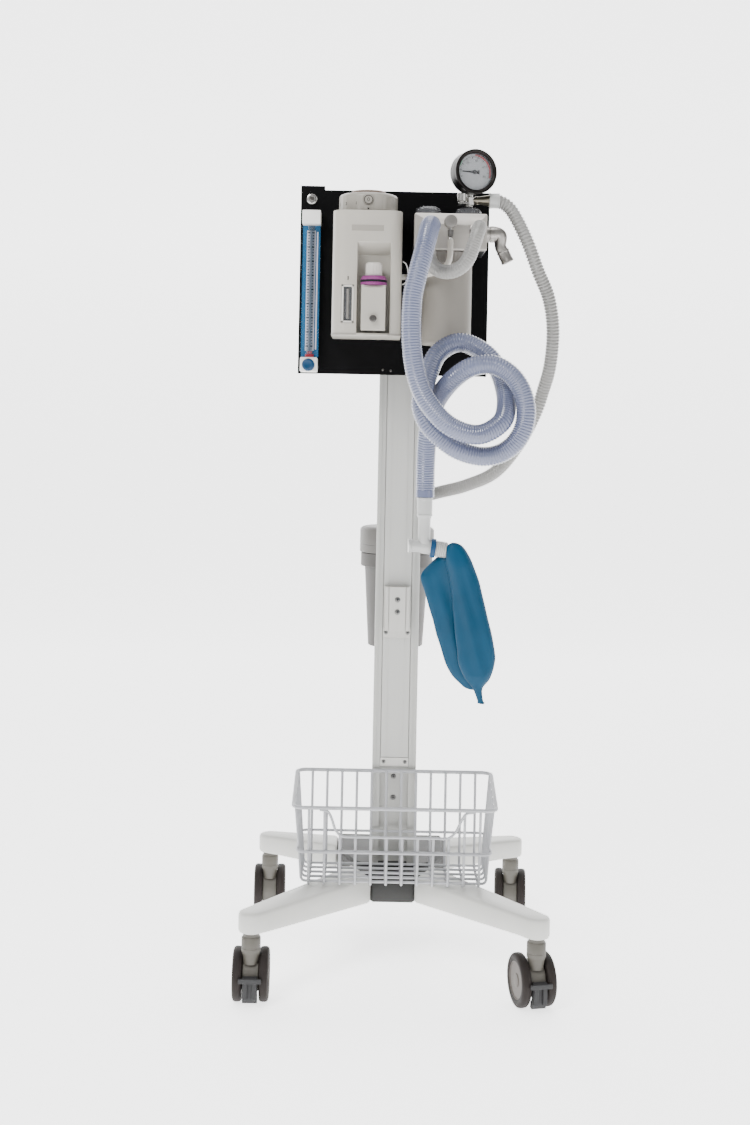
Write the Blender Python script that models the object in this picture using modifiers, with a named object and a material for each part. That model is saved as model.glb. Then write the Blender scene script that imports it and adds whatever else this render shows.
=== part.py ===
"""Trolley-mounted anesthesia machine for a veterinary clinic. Metres, +Z up, the front faces -Y."""

import math

import bmesh
import bpy
from mathutils import Matrix, Vector

for old in list(bpy.data.objects):
    bpy.data.objects.remove(old)

# ---- driving dimensions ----
GAP = 0.0003                     # running and seating gap between two pieces
STEM_X, STEM_Y = 0.200, 0.2075   # caster stems stand at +-STEM_X, +-STEM_Y
WHEEL_R, WHEEL_T, TRAIL = 0.0375, 0.0135, 0.016
LEG_CLEAR, LEG_H = 0.0265, 0.030  # the legs' height over the wheels, and their thickness at the casters
LEG_DROP, LEG_FLAT = 0.008, 0.022  # how far a leg's underside falls to the hub, and its flat part by the stem
LEG_LOW = 2 * WHEEL_R + LEG_CLEAR
LEG_TOP = LEG_LOW + LEG_H
LEG_END_R, LEG_ROOT_W = 0.0185, 0.052
HUB_LOW = LEG_LOW - LEG_DROP
HUB_LOW_TOP, HUB_TOP = LEG_TOP - 0.0015, LEG_TOP + 0.0035
FORK_W = 0.0235                  # caster housing between its two wheels
AXLE_R = 0.005
COL_W, COL_Y0, COL_Y1, COL_TOP = 0.068, 0.030, 0.095, 1.120
CHANNEL_W, CHANNEL_D = 0.0445, 0.011
COVER_Z0 = 0.285
RAIL_Z0, RAIL_Z1 = 0.4855, 0.5656
BASKET_W, BASKET_Y0, BASKET_Y1 = 0.152, -0.118, 0.0245
BASKET_LOW = HUB_LOW_TOP + 0.0075
BASKET_MID, BASKET_FRONT, BASKET_BACK = BASKET_LOW + 0.0503, BASKET_LOW + 0.1169, BASKET_LOW + 0.1425
RIM_D, WIRE_D = 0.0056, 0.0040
PANEL_Y, PANEL_T = -0.045, 0.0025
PANEL_X0, PANEL_X1, STRIP_X = -0.1580, 0.1258, -0.1220
PANEL_Z0, PANEL_Z1, STRIP_Z1 = 0.8905, 1.1670, 1.1730
FLOW_X, FLOW_W, FLOW_Y0 = -0.1402, 0.0270, -0.0800
FLOW_Z0, FLOW_Z1 = 0.9140, 1.1320
VAP_X, VAP_Y, VAP_W = -0.0560, -0.1080, 0.1000
VAP_FRONT, VAP_Z0, VAP_Z1 = -0.1650, 0.9430, 1.1225
DIAL_R, DIAL_H = 0.0430, 0.0290
FILL_X, FILL_Y = -0.0462, -0.1640
MAN_X0, MAN_X1, MAN_Y0, MAN_Z0, MAN_Z1 = 0.0108, 0.1152, -0.1560, 1.0690, 1.1210
VALVE_Y, LEFT_X, RIGHT_X, VALVE_R = -0.1050, 0.0322, 0.0906, 0.0205
CAN_X, CAN_Y, CAN_R, CAN_Z0 = 0.0613, -0.1050, 0.0365, 0.9335
PORT_R = 0.0113
GAUGE_X, GAUGE_Y, GAUGE_Z, GAUGE_R, GAUGE_D = 0.0955, -0.1180, 1.1860, 0.0325, 0.0280
GAUGE_TURN = math.radians(20)
TEE_X, TEE_Z = 0.0906, 1.1470
HOSE_D, SCAV_D, TUBE_D, LEAD = 0.0280, 0.0205, 0.0085, 0.0045
LIMB_X, LIMB_Y, CUFF_TOP = 0.0335, -0.1500, 0.7125
BIN_Y, BIN_R, BIN_Z0 = 0.1620, 0.0585, 0.4560

parts = bpy.data.collections.new("anesthesia_machine")
helpers = bpy.data.collections.new("cutters")
bpy.context.scene.collection.children.link(parts)
bpy.context.scene.collection.children.link(helpers)

PAINT = ("painted light grey", (0.72, 0.72, 0.70, 1), 0.35, 0.0)
DARK = ("dark grey plastic", (0.13, 0.13, 0.135, 1), 0.5, 0.0)
BLACK = ("black painted steel", (0.012, 0.012, 0.013, 1), 0.35, 0.0)
BEIGE = ("beige grey plastic", (0.50, 0.48, 0.43, 1), 0.45, 0.0)
TYRE = ("brown black tyre", (0.055, 0.045, 0.042, 1), 0.6, 0.0)
ALU = ("anodised aluminium", (0.72, 0.72, 0.71, 1), 0.35, 0.6)
STEEL = ("polished steel", (0.70, 0.70, 0.70, 1), 0.2, 1.0)
IVORY = ("warm grey enamel", (0.60, 0.58, 0.54, 1), 0.35, 0.0)
CLEAR = ("clear plastic", (0.75, 0.80, 0.85, 1), 0.1, 0.0)
WHITE = ("white plastic", (0.85, 0.85, 0.85, 1), 0.4, 0.0)
PURPLE = ("purple plastic", (0.42, 0.10, 0.45, 1), 0.4, 0.0)
BLUE = ("blue plastic", (0.03, 0.20, 0.50, 1), 0.4, 0.0)
TEAL = ("teal silicone", (0.03, 0.22, 0.36, 1), 0.4, 0.0)
RED = ("red float", (0.45, 0.03, 0.03, 1), 0.4, 0.0)
HOSE = ("blue tinted clear hose", (0.52, 0.58, 0.68, 1), 0.3, 0.0)
GREY_HOSE = ("grey clear hose", (0.55, 0.56, 0.56, 1), 0.3, 0.0)
BIN_GREY = ("warm mid grey plastic", (0.34, 0.33, 0.32, 1), 0.5, 0.0)


def principled(name, spec):
    """The part's own material."""
    kind, colour, rough, metal = spec
    made = bpy.data.materials.new(name + "_" + kind.replace(" ", "_"))
    made.use_nodes = True
    shader = made.node_tree.nodes["Principled BSDF"]
    shader.inputs["Base Color"].default_value = colour
    shader.inputs["Roughness"].default_value = rough
    shader.inputs["Metallic"].default_value = metal
    return made


def place(name, data, spec, collection=parts):
    """Puts a mesh or curve in the scene, in the parts' collection or the cutters'."""
    obj = bpy.data.objects.new(name, data)
    collection.objects.link(obj)
    if collection is helpers:
        obj.hide_render = True
        obj.display_type = "WIRE"
    else:
        data.materials.append(principled(name, spec))
    return obj


def from_bmesh(name, bm, spec, collection=parts):
    bmesh.ops.recalc_face_normals(bm, faces=bm.faces)
    data = bpy.data.meshes.new(name)
    bm.to_mesh(data)
    bm.free()
    return place(name, data, spec, collection)


def smooth(obj, angle=35):
    for face in obj.data.polygons:
        face.use_smooth = True
    obj.data.set_sharp_from_angle(angle=math.radians(angle))
    return obj


def bevel(obj, width, segments=1):
    mod = obj.modifiers.new("Bevel", "BEVEL")
    mod.width, mod.segments, mod.limit_method = width, segments, "ANGLE"
    mod.angle_limit = math.radians(40)
    return obj


def join(obj, other, kind="UNION"):
    mod = obj.modifiers.new(kind.title(), "BOOLEAN")
    mod.operation, mod.solver, mod.object = kind, "EXACT", other
    return obj


def box(name, low, high, spec, collection=parts):
    bm = bmesh.new()
    bmesh.ops.create_cube(bm, size=1.0)
    size = [b - a for a, b in zip(low, high)]
    mid = [(a + b) / 2 for a, b in zip(low, high)]
    bmesh.ops.scale(bm, vec=size, verts=bm.verts)
    bmesh.ops.translate(bm, vec=mid, verts=bm.verts)
    return from_bmesh(name, bm, spec, collection)


def prism(name, outline, start, end, spec, up="Z", collection=parts):
    """A flat outline drawn out along one axis. The outline is (x, y) for Z, (x, z) for Y, (y, z) for X."""
    order = {"Z": lambda a, b, c: (a, b, c), "Y": lambda a, b, c: (a, c, b), "X": lambda a, b, c: (c, a, b)}[up]
    bm = bmesh.new()
    low = [bm.verts.new(order(a, b, start)) for a, b in outline]
    high = [bm.verts.new(order(a, b, end)) for a, b in outline]
    bm.faces.new(low)
    bm.faces.new(high)
    for i in range(len(outline)):
        j = (i + 1) % len(outline)
        bm.faces.new((low[i], low[j], high[j], high[i]))
    return from_bmesh(name, bm, spec, collection)


def lathe(name, profile, spec, steps=24, at=(0, 0, 0), axis=(0, 0, 1), collection=parts):
    """A closed turned shape. The profile is (radius, height), from its lowest point on the axis to its highest."""
    bm = bmesh.new()
    rings = []
    for radius, height in profile:
        if radius < 1e-6:
            rings.append([bm.verts.new((0, 0, height))])
        else:
            turn = [2 * math.pi * (k + 0.5) / steps for k in range(steps)]
            rings.append([bm.verts.new((radius * math.cos(a), radius * math.sin(a), height)) for a in turn])
    closed_ring = len(rings[0]) > 1
    pairs = list(zip(rings, rings[1:] + rings[:1])) if closed_ring else list(zip(rings, rings[1:]))
    for low, high in pairs:
        for k in range(steps):
            m = (k + 1) % steps
            if len(low) == 1:
                bm.faces.new((low[0], high[k], high[m]))
            elif len(high) == 1:
                bm.faces.new((low[k], low[m], high[0]))
            else:
                bm.faces.new((low[k], low[m], high[m], high[k]))
    obj = smooth(from_bmesh(name, bm, spec, collection))
    turn = Vector((0, 0, 1)).rotation_difference(Vector(axis))
    obj.matrix_world = Matrix.Translation(at) @ turn.to_matrix().to_4x4()
    return obj


def rod(name, start, end, radius, spec, steps=20, tip=None, collection=parts):
    """A round bar, or a cone when tip gives the radius at its end."""
    start, end = Vector(start), Vector(end)
    tall = (end - start).length
    profile = [(0, 0), (radius, 0), (radius if tip is None else tip, tall), (0, tall)]
    return lathe(name, profile, spec, steps, start, (end - start).normalized(), collection)


def wire_rings(points, diameter, sides, loop=False):
    """Rings of points around a bent wire, each one square to the wire's bisector."""
    points = [Vector(p) for p in points]
    count, rings, up = len(points), [], None
    for i, here in enumerate(points):
        before = points[(i - 1) % count] if loop or i else here
        after = points[(i + 1) % count] if loop or i < count - 1 else here
        go_in, go_out = (here - before).normalized(), (after - here).normalized()
        along = (go_in + go_out).normalized()
        if up is None:
            up = Vector((0, 0, 1)) if abs(along.z) < 0.7 else Vector((0, 1, 0))
        side = along.cross(up).normalized()
        up = side.cross(along).normalized()
        turn = max(0.5, along.dot(go_out if go_out.length else along))
        ring = []
        for k in range(sides):
            a = 2 * math.pi * (k + 0.5) / sides
            offset = side * math.cos(a) + up * math.sin(a)
            bend = go_out - go_in
            if bend.length > 1e-6:
                flat = bend.normalized()
                offset += flat * offset.dot(flat) * (1 / turn - 1)
            ring.append(here + offset * diameter / 2)
        rings.append(ring)
    return rings


def wire(name, points, diameter, spec, sides=6, loop=False, collection=parts):
    """A closed solid wire through the points, mitred at each bend."""
    bm = bmesh.new()
    add_wire(bm, points, diameter, sides, loop)
    return from_bmesh(name, bm, spec, collection)


def add_wire(bm, points, diameter, sides, loop=False):
    rings = [[bm.verts.new(p) for p in ring] for ring in wire_rings(points, diameter, sides, loop)]
    pairs = zip(rings, rings[1:] + rings[:1]) if loop else zip(rings, rings[1:])
    for low, high in pairs:
        for k in range(sides):
            m = (k + 1) % sides
            bm.faces.new((low[k], low[m], high[m], high[k]))
    if not loop:
        bm.faces.new(rings[0])
        bm.faces.new(rings[-1])


def rounded(x0, y0, x1, y1, radius, steps=4):
    """The outline of a rectangle with rounded corners, anticlockwise."""
    out = []
    corners = ((x1, y0, -90), (x1, y1, 0), (x0, y1, 90), (x0, y0, 180))
    for cx, cy, start in corners:
        mx = cx - radius if cx == x1 else cx + radius
        my = cy - radius if cy == y1 else cy + radius
        for k in range(steps + 1):
            a = math.radians(start + 90 * k / steps)
            out.append((mx + radius * math.cos(a), my + radius * math.sin(a)))
    return out


def route(points, step):
    """Evenly spaced points on a smooth curve through the given ones."""
    pts = [Vector(p) for p in points]
    pts = [pts[0] * 2 - pts[1]] + pts + [pts[-1] * 2 - pts[-2]]
    fine = []
    for a, b, c, d in zip(pts, pts[1:], pts[2:], pts[3:]):
        for k in range(16):
            t = k / 16
            fine.append(0.5 * (2 * b + (c - a) * t + (2 * a - 5 * b + 4 * c - d) * t ** 2
                               + (3 * b - a - 3 * c + d) * t ** 3))
    fine.append(pts[-2])
    lengths = [0.0]
    for a, b in zip(fine, fine[1:]):
        lengths.append(lengths[-1] + (b - a).length)
    count = max(2, round(lengths[-1] / step))
    out, i = [], 0
    for k in range(count + 1):
        want = lengths[-1] * k / count
        while i < len(fine) - 2 and lengths[i + 1] < want:
            i += 1
        span = lengths[i + 1] - lengths[i]
        out.append(fine[i].lerp(fine[i + 1], 0 if span == 0 else (want - lengths[i]) / span))
    return out


def cord(name, points, diameter, spec, step, resolution=2):
    """A flexible hose as a plain tube."""
    curve = bpy.data.curves.new(name, "CURVE")
    curve.dimensions, curve.bevel_depth = "3D", diameter / 2
    curve.bevel_resolution, curve.use_fill_caps = resolution, True
    line = route(points, step)
    # A short straight lead keeps each end face square to the piece it meets.
    first = Vector(points[1]) - Vector(points[0])
    last = Vector(points[-2]) - Vector(points[-1])
    line.insert(1, line[0] + first.normalized() * LEAD)
    line.insert(-1, line[-1] + last.normalized() * LEAD)
    spline = curve.splines.new("POLY")
    spline.points.add(len(line) - 1)
    for point, place_at in zip(spline.points, line):
        point.co = (*place_at, 1)
    return place(name, curve, spec)


# ---- base: hub, four legs, four twin-wheel casters ----
HUB_PLAN = [(-0.0315, -0.036), (0.0315, -0.036), (0.0620, 0.036), (0.0870, 0.105), (0.0870, 0.206),
            (-0.0870, 0.206), (-0.0870, 0.105), (-0.0620, 0.036)]
hub = bevel(prism("base_hub", HUB_PLAN, HUB_LOW, HUB_LOW_TOP, DARK), 0.003)
raised = [(-0.046, 0.0275), (0.046, 0.0275), (0.060, 0.040), (0.083, 0.107), (0.083, 0.202), (-0.083, 0.202),
          (-0.083, 0.107), (-0.060, 0.040)]
boss = bevel(prism("hub_boss", raised, HUB_LOW + 0.02, HUB_TOP, None, collection=helpers), 0.003)
join(hub, boss)

LEG_ROOTS = {
    # the two points where a leg meets the hub's edge
    "front_left": [(-0.0319, -0.0361), (-0.0623, 0.0356)],
    "front_right": [(0.0623, 0.0356), (0.0319, -0.0361)],
    "rear_left": [(-0.0873, 0.1400), (-0.0873, 0.2040)],
    "rear_right": [(0.0873, 0.2040), (0.0873, 0.1400)],
}


def leg(name, side_x, side_y, roots):
    """An arm that narrows from the hub to a round end over the stem; its underside falls towards the hub."""
    centre = Vector((side_x * STEM_X, side_y * STEM_Y))
    first, last = Vector(roots[0]), Vector(roots[1])
    inward = ((first + last) / 2 - centre).normalized()
    start = math.atan2(-inward.y, -inward.x)
    arc = [start + math.radians(a) for a in range(-85, 86, 17)]
    points = [(centre.x + LEG_END_R * math.cos(a), centre.y + LEG_END_R * math.sin(a)) for a in arc]
    if (Vector(points[0]) - first).length > (Vector(points[-1]) - first).length:
        points.reverse()
    knees = []
    for root, corner in ((first, Vector(points[0])), (last, Vector(points[-1]))):
        knees.append(tuple(corner + (root - corner).normalized() * LEG_FLAT))
    outline = [tuple(last), tuple(first), knees[0]] + points + [knees[1]]
    arm = prism(name, outline, LEG_LOW, LEG_TOP, PAINT)
    bm = bmesh.new()
    bm.from_mesh(arm.data)
    bm.verts.ensure_lookup_table()
    low_last, low_first, knee_a, knee_b = bm.verts[0], bm.verts[1], bm.verts[2], bm.verts[len(outline) - 1]
    for one, other in ((knee_a, knee_b), (low_first, knee_b)):
        shared = [face for face in one.link_faces if other in face.verts]
        bmesh.utils.face_split(shared[0], one, other)
    for vert in (low_last, low_first):
        vert.co.z -= LEG_DROP
    bm.to_mesh(arm.data)
    bm.free()
    return bevel(arm, 0.005, 2)


for label, roots in LEG_ROOTS.items():
    sx = -1 if label.endswith("left") else 1
    sy = -1 if label.startswith("front") else 1
    arm = leg("leg_" + label, sx, sy, roots)

CASTER_TURN = {"front_left": 1, "front_right": 14, "rear_left": 2, "rear_right": 356}


def caster(label, side_x, side_y, turn_deg, braked):
    """A swivel housing with its stub axles, two wheels and, on the front pair, a brake pedal."""
    stem = Matrix.Translation((side_x * STEM_X, side_y * STEM_Y, 0))
    stem = stem @ Matrix.Rotation(math.radians(turn_deg), 4, "Z")
    half = FORK_W / 2
    axle_z = WHEEL_R
    # The housing: a hood of arc plan between the wheels, a neck and a collar under the leg.
    hood = []
    for a in range(-10, 191, 20):
        hood.append((TRAIL + 0.0285 * math.cos(math.radians(a)), axle_z + 0.0285 * math.sin(math.radians(a))))
    hood += [(TRAIL - 0.020, axle_z - 0.018), (TRAIL + 0.020, axle_z - 0.018)]
    fork = prism("caster_" + label, hood, -half, half, BEIGE, "X")
    foot, wheel_top = WHEEL_R + 0.0205, 2 * WHEEL_R
    neck = [(0, foot), (0.0105, foot), (0.0115, wheel_top - 0.0045), (0.0135, wheel_top - 0.0005),
            (0.0135, LEG_LOW - 0.0070), (0.0115, LEG_LOW - 0.0050), (0.0115, LEG_LOW - GAP), (0, LEG_LOW - GAP)]
    join(fork, lathe("neck_" + label, neck, None, 20, collection=helpers))
    reach = half + GAP + WHEEL_T - 0.0045
    join(fork, rod("axle_" + label, (-reach, TRAIL, axle_z), (reach, TRAIL, axle_z), AXLE_R, None, 16,
                   collection=helpers))
    fork.matrix_world = stem
    for piece in ("neck_", "axle_"):
        helper = bpy.data.objects[piece + label]
        helper.matrix_world = stem @ helper.matrix_world
    for side, mark in ((-1, "left"), (1, "right")):
        start = half + GAP
        bore = AXLE_R + 0.00015
        deep = WHEEL_T - 0.0040
        rim = [(bore, 0.0), (WHEEL_R - 0.0045, 0.0), (WHEEL_R, 0.0035), (WHEEL_R, WHEEL_T - 0.005),
               (WHEEL_R - 0.005, WHEEL_T), (0.027, WHEEL_T), (0.0255, WHEEL_T - 0.0015),
               (0.0, WHEEL_T - 0.0015)]
        profile = [(0.0, deep), (bore, deep)] + rim
        name = "wheel_" + label + "_" + mark
        wheel = lathe(name, profile, TYRE, 24)
        turn = Matrix.Rotation(math.radians(90 * side), 4, "Y")
        wheel.matrix_world = stem @ Matrix.Translation((side * start, TRAIL, axle_z)) @ turn
    if braked:
        # The pedal is on the side of the housing that faces the front.
        way = 1 if math.cos(math.radians(turn_deg)) > 0 else -1
        near = TRAIL - 0.0285 if way > 0 else -(TRAIL + 0.0285)
        pedal = [(near - 0.0085, 0.0405), (near - 0.0070, 0.0435), (near - 0.0004, 0.0440),
                 (near - 0.0004, 0.0205), (near + 0.0040, 0.0160), (near + 0.0060, 0.0070),
                 (near - 0.0010, 0.0060), (near - 0.0060, 0.0150), (near - 0.0062, 0.0330)]
        lever = prism("brake_pedal_" + label, [(way * y, z) for y, z in pedal], -0.0105, 0.0105, DARK, "X")
        lever.matrix_world = stem
    return fork


for label, turn_deg in CASTER_TURN.items():
    sx = -1 if label.endswith("left") else 1
    sy = -1 if label.startswith("front") else 1
    caster(label, sx, sy, turn_deg, label.startswith("front"))

# ---- column with its front channel, cover strip and accessory rail block ----
hw, hc = COL_W / 2, CHANNEL_W / 2
section = [(-hw, COL_Y0), (-hc, COL_Y0), (-hc, COL_Y0 + CHANNEL_D), (hc, COL_Y0 + CHANNEL_D), (hc, COL_Y0),
           (hw, COL_Y0), (hw, 0.056), (hw - 0.003, 0.056), (hw - 0.003, 0.069), (hw, 0.069),
           (hw, COL_Y1), (-hw, COL_Y1), (-hw, 0.069), (-hw + 0.003, 0.069), (-hw + 0.003, 0.056), (-hw, 0.056)]
column = prism("column", section, HUB_TOP + GAP, COL_TOP, PAINT)

strip_y = COL_Y0 + 0.0012
cover = prism("channel_cover", [(-hc + GAP, strip_y), (hc - GAP, strip_y), (hc - GAP, COL_Y0 + CHANNEL_D - GAP),
                                (-hc + GAP, COL_Y0 + CHANNEL_D - GAP)], COVER_Z0, 1.050, PAINT)

block_front, block_back = 0.0120, strip_y - GAP
rail_plan = [(-0.0205, block_back), (-0.0205, 0.0245), (-0.0165, 0.0245), (-0.0165, 0.0195), (-0.0185, 0.0175),
             (-0.0185, block_front), (0.0185, block_front), (0.0185, 0.0175), (0.0165, 0.0195),
             (0.0165, 0.0245), (0.0205, 0.0245), (0.0205, block_back)]
rail = prism("accessory_rail_block", rail_plan, RAIL_Z0 + 0.012, RAIL_Z1, ALU)
foot = box("rail_foot", (-0.0215, 0.0265, RAIL_Z0), (0.0215, block_back, RAIL_Z0 + 0.016), None, helpers)
join(rail, foot)

# ---- wire basket: one welded piece ----
low_x, low_y0, low_y1 = BASKET_W - 0.0095, BASKET_Y0 + 0.012, BASKET_Y1 - 0.006


def basket_wall(t, low, high):
    return low + (high - low) * t


def rim_height(y):
    """The rim falls from the back to the front."""
    t = (y - BASKET_Y0) / (BASKET_Y1 - BASKET_Y0)
    t = min(1.0, max(0.0, (t - 0.12) / 0.76))
    return BASKET_FRONT + (BASKET_BACK - BASKET_FRONT) * t


def loop_at(x, y0, y1, z, corner, steps=3):
    outline = rounded(-x, y0, x, y1, corner, steps)
    return [(a, b, z(b) if callable(z) else z) for a, b in outline]


bm = bmesh.new()
add_wire(bm, loop_at(BASKET_W - RIM_D / 2, BASKET_Y0 + RIM_D / 2, BASKET_Y1 - RIM_D / 2, rim_height, 0.016),
         RIM_D, 6,
         True)
basket = from_bmesh("wire_basket", bm, WHITE)
mid_z = BASKET_MID
frac = (mid_z - BASKET_LOW) / (BASKET_FRONT - BASKET_LOW)
mid_x = basket_wall(frac, low_x, BASKET_W) - 0.0035
mid_y0 = basket_wall(frac, low_y0, BASKET_Y0) + 0.0035
mid_y1 = basket_wall(frac, low_y1, BASKET_Y1) - 0.0035
loops = [wire("basket_mid_loop", loop_at(mid_x, mid_y0, mid_y1, mid_z, 0.014), WIRE_D, None, 4, True, helpers)]
# A wire crosses each one it meets 0.9 mm deeper than touching, as a weld does.
layer = WIRE_D - 0.0009
uprights = [-0.1255 + 0.02282 * k for k in range(12)]
SCOOP = [(-0.110, 0), (-0.098, -0.004), (-0.092, -0.016), (-0.087, -0.033), (-0.078, -0.0430), (0.080, -0.0430),
         (0.090, -0.033), (0.097, -0.016), (0.104, -0.004), (0.116, 0)]


def scoop_drop(x):
    """How far below the front rim an upright ends, where the scooped front wire passes."""
    for (xa, za), (xb, zb) in zip(SCOOP, SCOOP[1:]):
        if xa <= x <= xb:
            return za + (zb - za) * (x - xa) / (xb - xa)
    return 0.0


for k, x in enumerate(uprights):
    inner0, inner1 = mid_y0 + layer, mid_y1 - layer
    top = BASKET_FRONT + scoop_drop(x)
    lean0 = BASKET_Y0 + RIM_D / 2 + layer - 0.0006
    lean1 = BASKET_Y1 - RIM_D / 2 - layer + 0.0006
    t = (top - mid_z) / (BASKET_FRONT - mid_z)
    front_y = inner0 + (lean0 - inner0) * t
    points = [(x, front_y, top), (x, inner0 + 0.0005, mid_z), (x, low_y0 + 0.008, BASKET_LOW + 0.004),
              (x, low_y0 + 0.0135, BASKET_LOW), (x, low_y1 - 0.0115, BASKET_LOW),
              (x, low_y1 - 0.006, BASKET_LOW + 0.004),
              (x, inner1 - 0.0005, mid_z), (x, lean1, BASKET_BACK)]
    loops.append(wire("basket_upright_%02d" % k, points, WIRE_D, None, 4, False, helpers))
for k in range(5):
    y = low_y0 + 0.0165 + k * (low_y1 - low_y0 - 0.031) / 4
    z = BASKET_LOW + layer
    tall = rim_height(y)
    rise = basket_wall(frac, low_x, BASKET_W) - 0.0035 - layer
    points = []
    for s in (-1, 1):
        arm = [(s * (BASKET_W - RIM_D / 2 - layer + 0.0006), y, tall), (s * rise, y, mid_z),
               (s * (low_x - 0.005), y, z + 0.004), (s * (low_x - 0.010), y, z)]
        points += arm if s < 0 else arm[::-1]
    loops.append(wire("basket_cross_%02d" % k, points, WIRE_D, None, 4, False, helpers))
scoop_y = BASKET_Y0 + RIM_D / 2 + 0.0012
scoop_line = []
for x, dz in SCOOP:
    t = (BASKET_FRONT + dz - mid_z) / (BASKET_FRONT - mid_z)
    y = mid_y0 + (BASKET_Y0 + RIM_D / 2 - mid_y0) * t
    scoop_line.append((x, y + (0.0006 if dz else 0.0), BASKET_FRONT + dz - (0.0028 if dz == 0 else 0)))
loops.append(wire("basket_scoop", scoop_line, WIRE_D, None, 4, False, helpers))
# One straight wire low on the back wall.
t = (0.1576 - BASKET_LOW) / (BASKET_MID - BASKET_LOW)
back_y = basket_wall(t, low_y1 - 0.006, mid_y1 - layer) - layer
loops.append(wire("basket_back_wire", [(-0.1340, back_y, 0.1576), (0.1340, back_y, 0.1576)], WIRE_D, None, 4,
                  False,
                  helpers))
for piece in loops:
    join(basket, piece)

# ---- black panel on its bracket ----
outline = [(PANEL_X0, PANEL_Z0), (PANEL_X1, PANEL_Z0), (PANEL_X1, PANEL_Z1), (STRIP_X, PANEL_Z1),
           (STRIP_X, STRIP_Z1), (PANEL_X0, STRIP_Z1)]
panel = prism("panel", outline, PANEL_Y, PANEL_Y + PANEL_T, BLACK, "Y")
FOLD = 0.018
for k, (low, high) in enumerate((
        ((PANEL_X0, PANEL_Y + 0.001, PANEL_Z0), (PANEL_X0 + PANEL_T, PANEL_Y + FOLD, STRIP_Z1)),
        ((PANEL_X1 - PANEL_T, PANEL_Y + 0.001, PANEL_Z0), (PANEL_X1, PANEL_Y + FOLD, PANEL_Z1)))):
    join(panel, box("panel_fold_%d" % k, low, high, None, helpers))
back0, back1 = PANEL_Y + PANEL_T + GAP, COL_Y0 - GAP
bracket_plan = [(-0.045, back0), (0.045, back0), (0.045, back0 + 0.003), (0.030, back0 + 0.003),
                (0.030, back1), (-0.030, back1), (-0.030, back0 + 0.003), (-0.045, back0 + 0.003)]
bracket = prism("panel_bracket", bracket_plan, 0.900, 1.110, BLACK)
join(bracket, box("bracket_hollow", (-0.027, back0 + 0.003, 0.890), (0.027, back1 - 0.003, 1.120), None,
                  helpers),
     "DIFFERENCE")

# ---- flowmeter: clear block with a bored tube, base block, float and needle-valve knob ----
fx0, fx1 = FLOW_X - FLOW_W / 2, FLOW_X + FLOW_W / 2
FLOW_BACK, BORE_Y, BORE_R = PANEL_Y - GAP, -0.0640, 0.0045
flow_body = bevel(box("flowmeter_body", (fx0, FLOW_Y0, FLOW_Z0), (fx1, FLOW_BACK, FLOW_Z1), CLEAR), 0.0012)
join(flow_body, rod("flow_bore", (FLOW_X, BORE_Y, FLOW_Z0 - 0.01), (FLOW_X, BORE_Y, FLOW_Z1 - 0.022), BORE_R,
                    None, 12,
                    collection=helpers), "DIFFERENCE")
flow_base = bevel(box("flowmeter_base", (fx0 + 0.0004, FLOW_Y0 - 0.002, PANEL_Z0 + 0.0016),
                      (fx1 - 0.0012, FLOW_BACK, FLOW_Z0 - GAP), WHITE), 0.001)
lathe("flowmeter_float", [(0, 0), (0.0022, 0), (0.0034, 0.0055), (0.0034, 0.0085), (0, 0.0085)], RED, 10,
      (FLOW_X, BORE_Y, FLOW_Z0 + GAP))
KNOB_Z = 0.9018
lathe("flowmeter_knob", [(0, 0), (0.0055, 0), (0.0055, 0.006), (0.0092, 0.0068), (0.0092, 0.0215),
                         (0.0078, 0.0232), (0, 0.0232)], BLUE, 16, (FLOW_X, FLOW_Y0 - 0.002 - GAP, KNOB_Z),
                         (0, -1, 0))

# ---- vaporizer ----
vx0, vx1 = VAP_X - VAP_W / 2, VAP_X + VAP_W / 2
VAP_BACK = PANEL_Y - GAP
plan = [(vx0, VAP_BACK), (vx0, VAP_FRONT + 0.020)]
for k in range(1, 6):
    a = math.radians(180 + 90 * k / 6)
    plan.append((vx0 + 0.020 + 0.020 * math.cos(a), VAP_FRONT + 0.020 + 0.020 * math.sin(a)))
plan += [(vx0 + 0.020, VAP_FRONT)]
plan += [(2 * VAP_X - a, b) for a, b in plan[::-1]]
vap = prism("vaporizer_body", plan, VAP_Z0, VAP_Z1, IVORY)
RECESS_X0, RECESS_X1, RECESS_Y = FILL_X - 0.0236, FILL_X + 0.0236, -0.1420
slot = [(VAP_FRONT - 0.01, VAP_Z0 + 0.0035), (RECESS_Y, VAP_Z0 + 0.0035), (RECESS_Y, 1.0600),
        (VAP_FRONT, 1.0770),
        (VAP_FRONT - 0.01, 1.0840)]
join(vap, prism("recess", slot, RECESS_X0, RECESS_X1, None, "X", helpers), "DIFFERENCE")
join(vap, box("glass_pocket", (-0.0920, VAP_FRONT - 0.01, 0.9605), (-0.0738, VAP_FRONT + 0.006, 1.0155), None,
              helpers), "DIFFERENCE")
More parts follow.
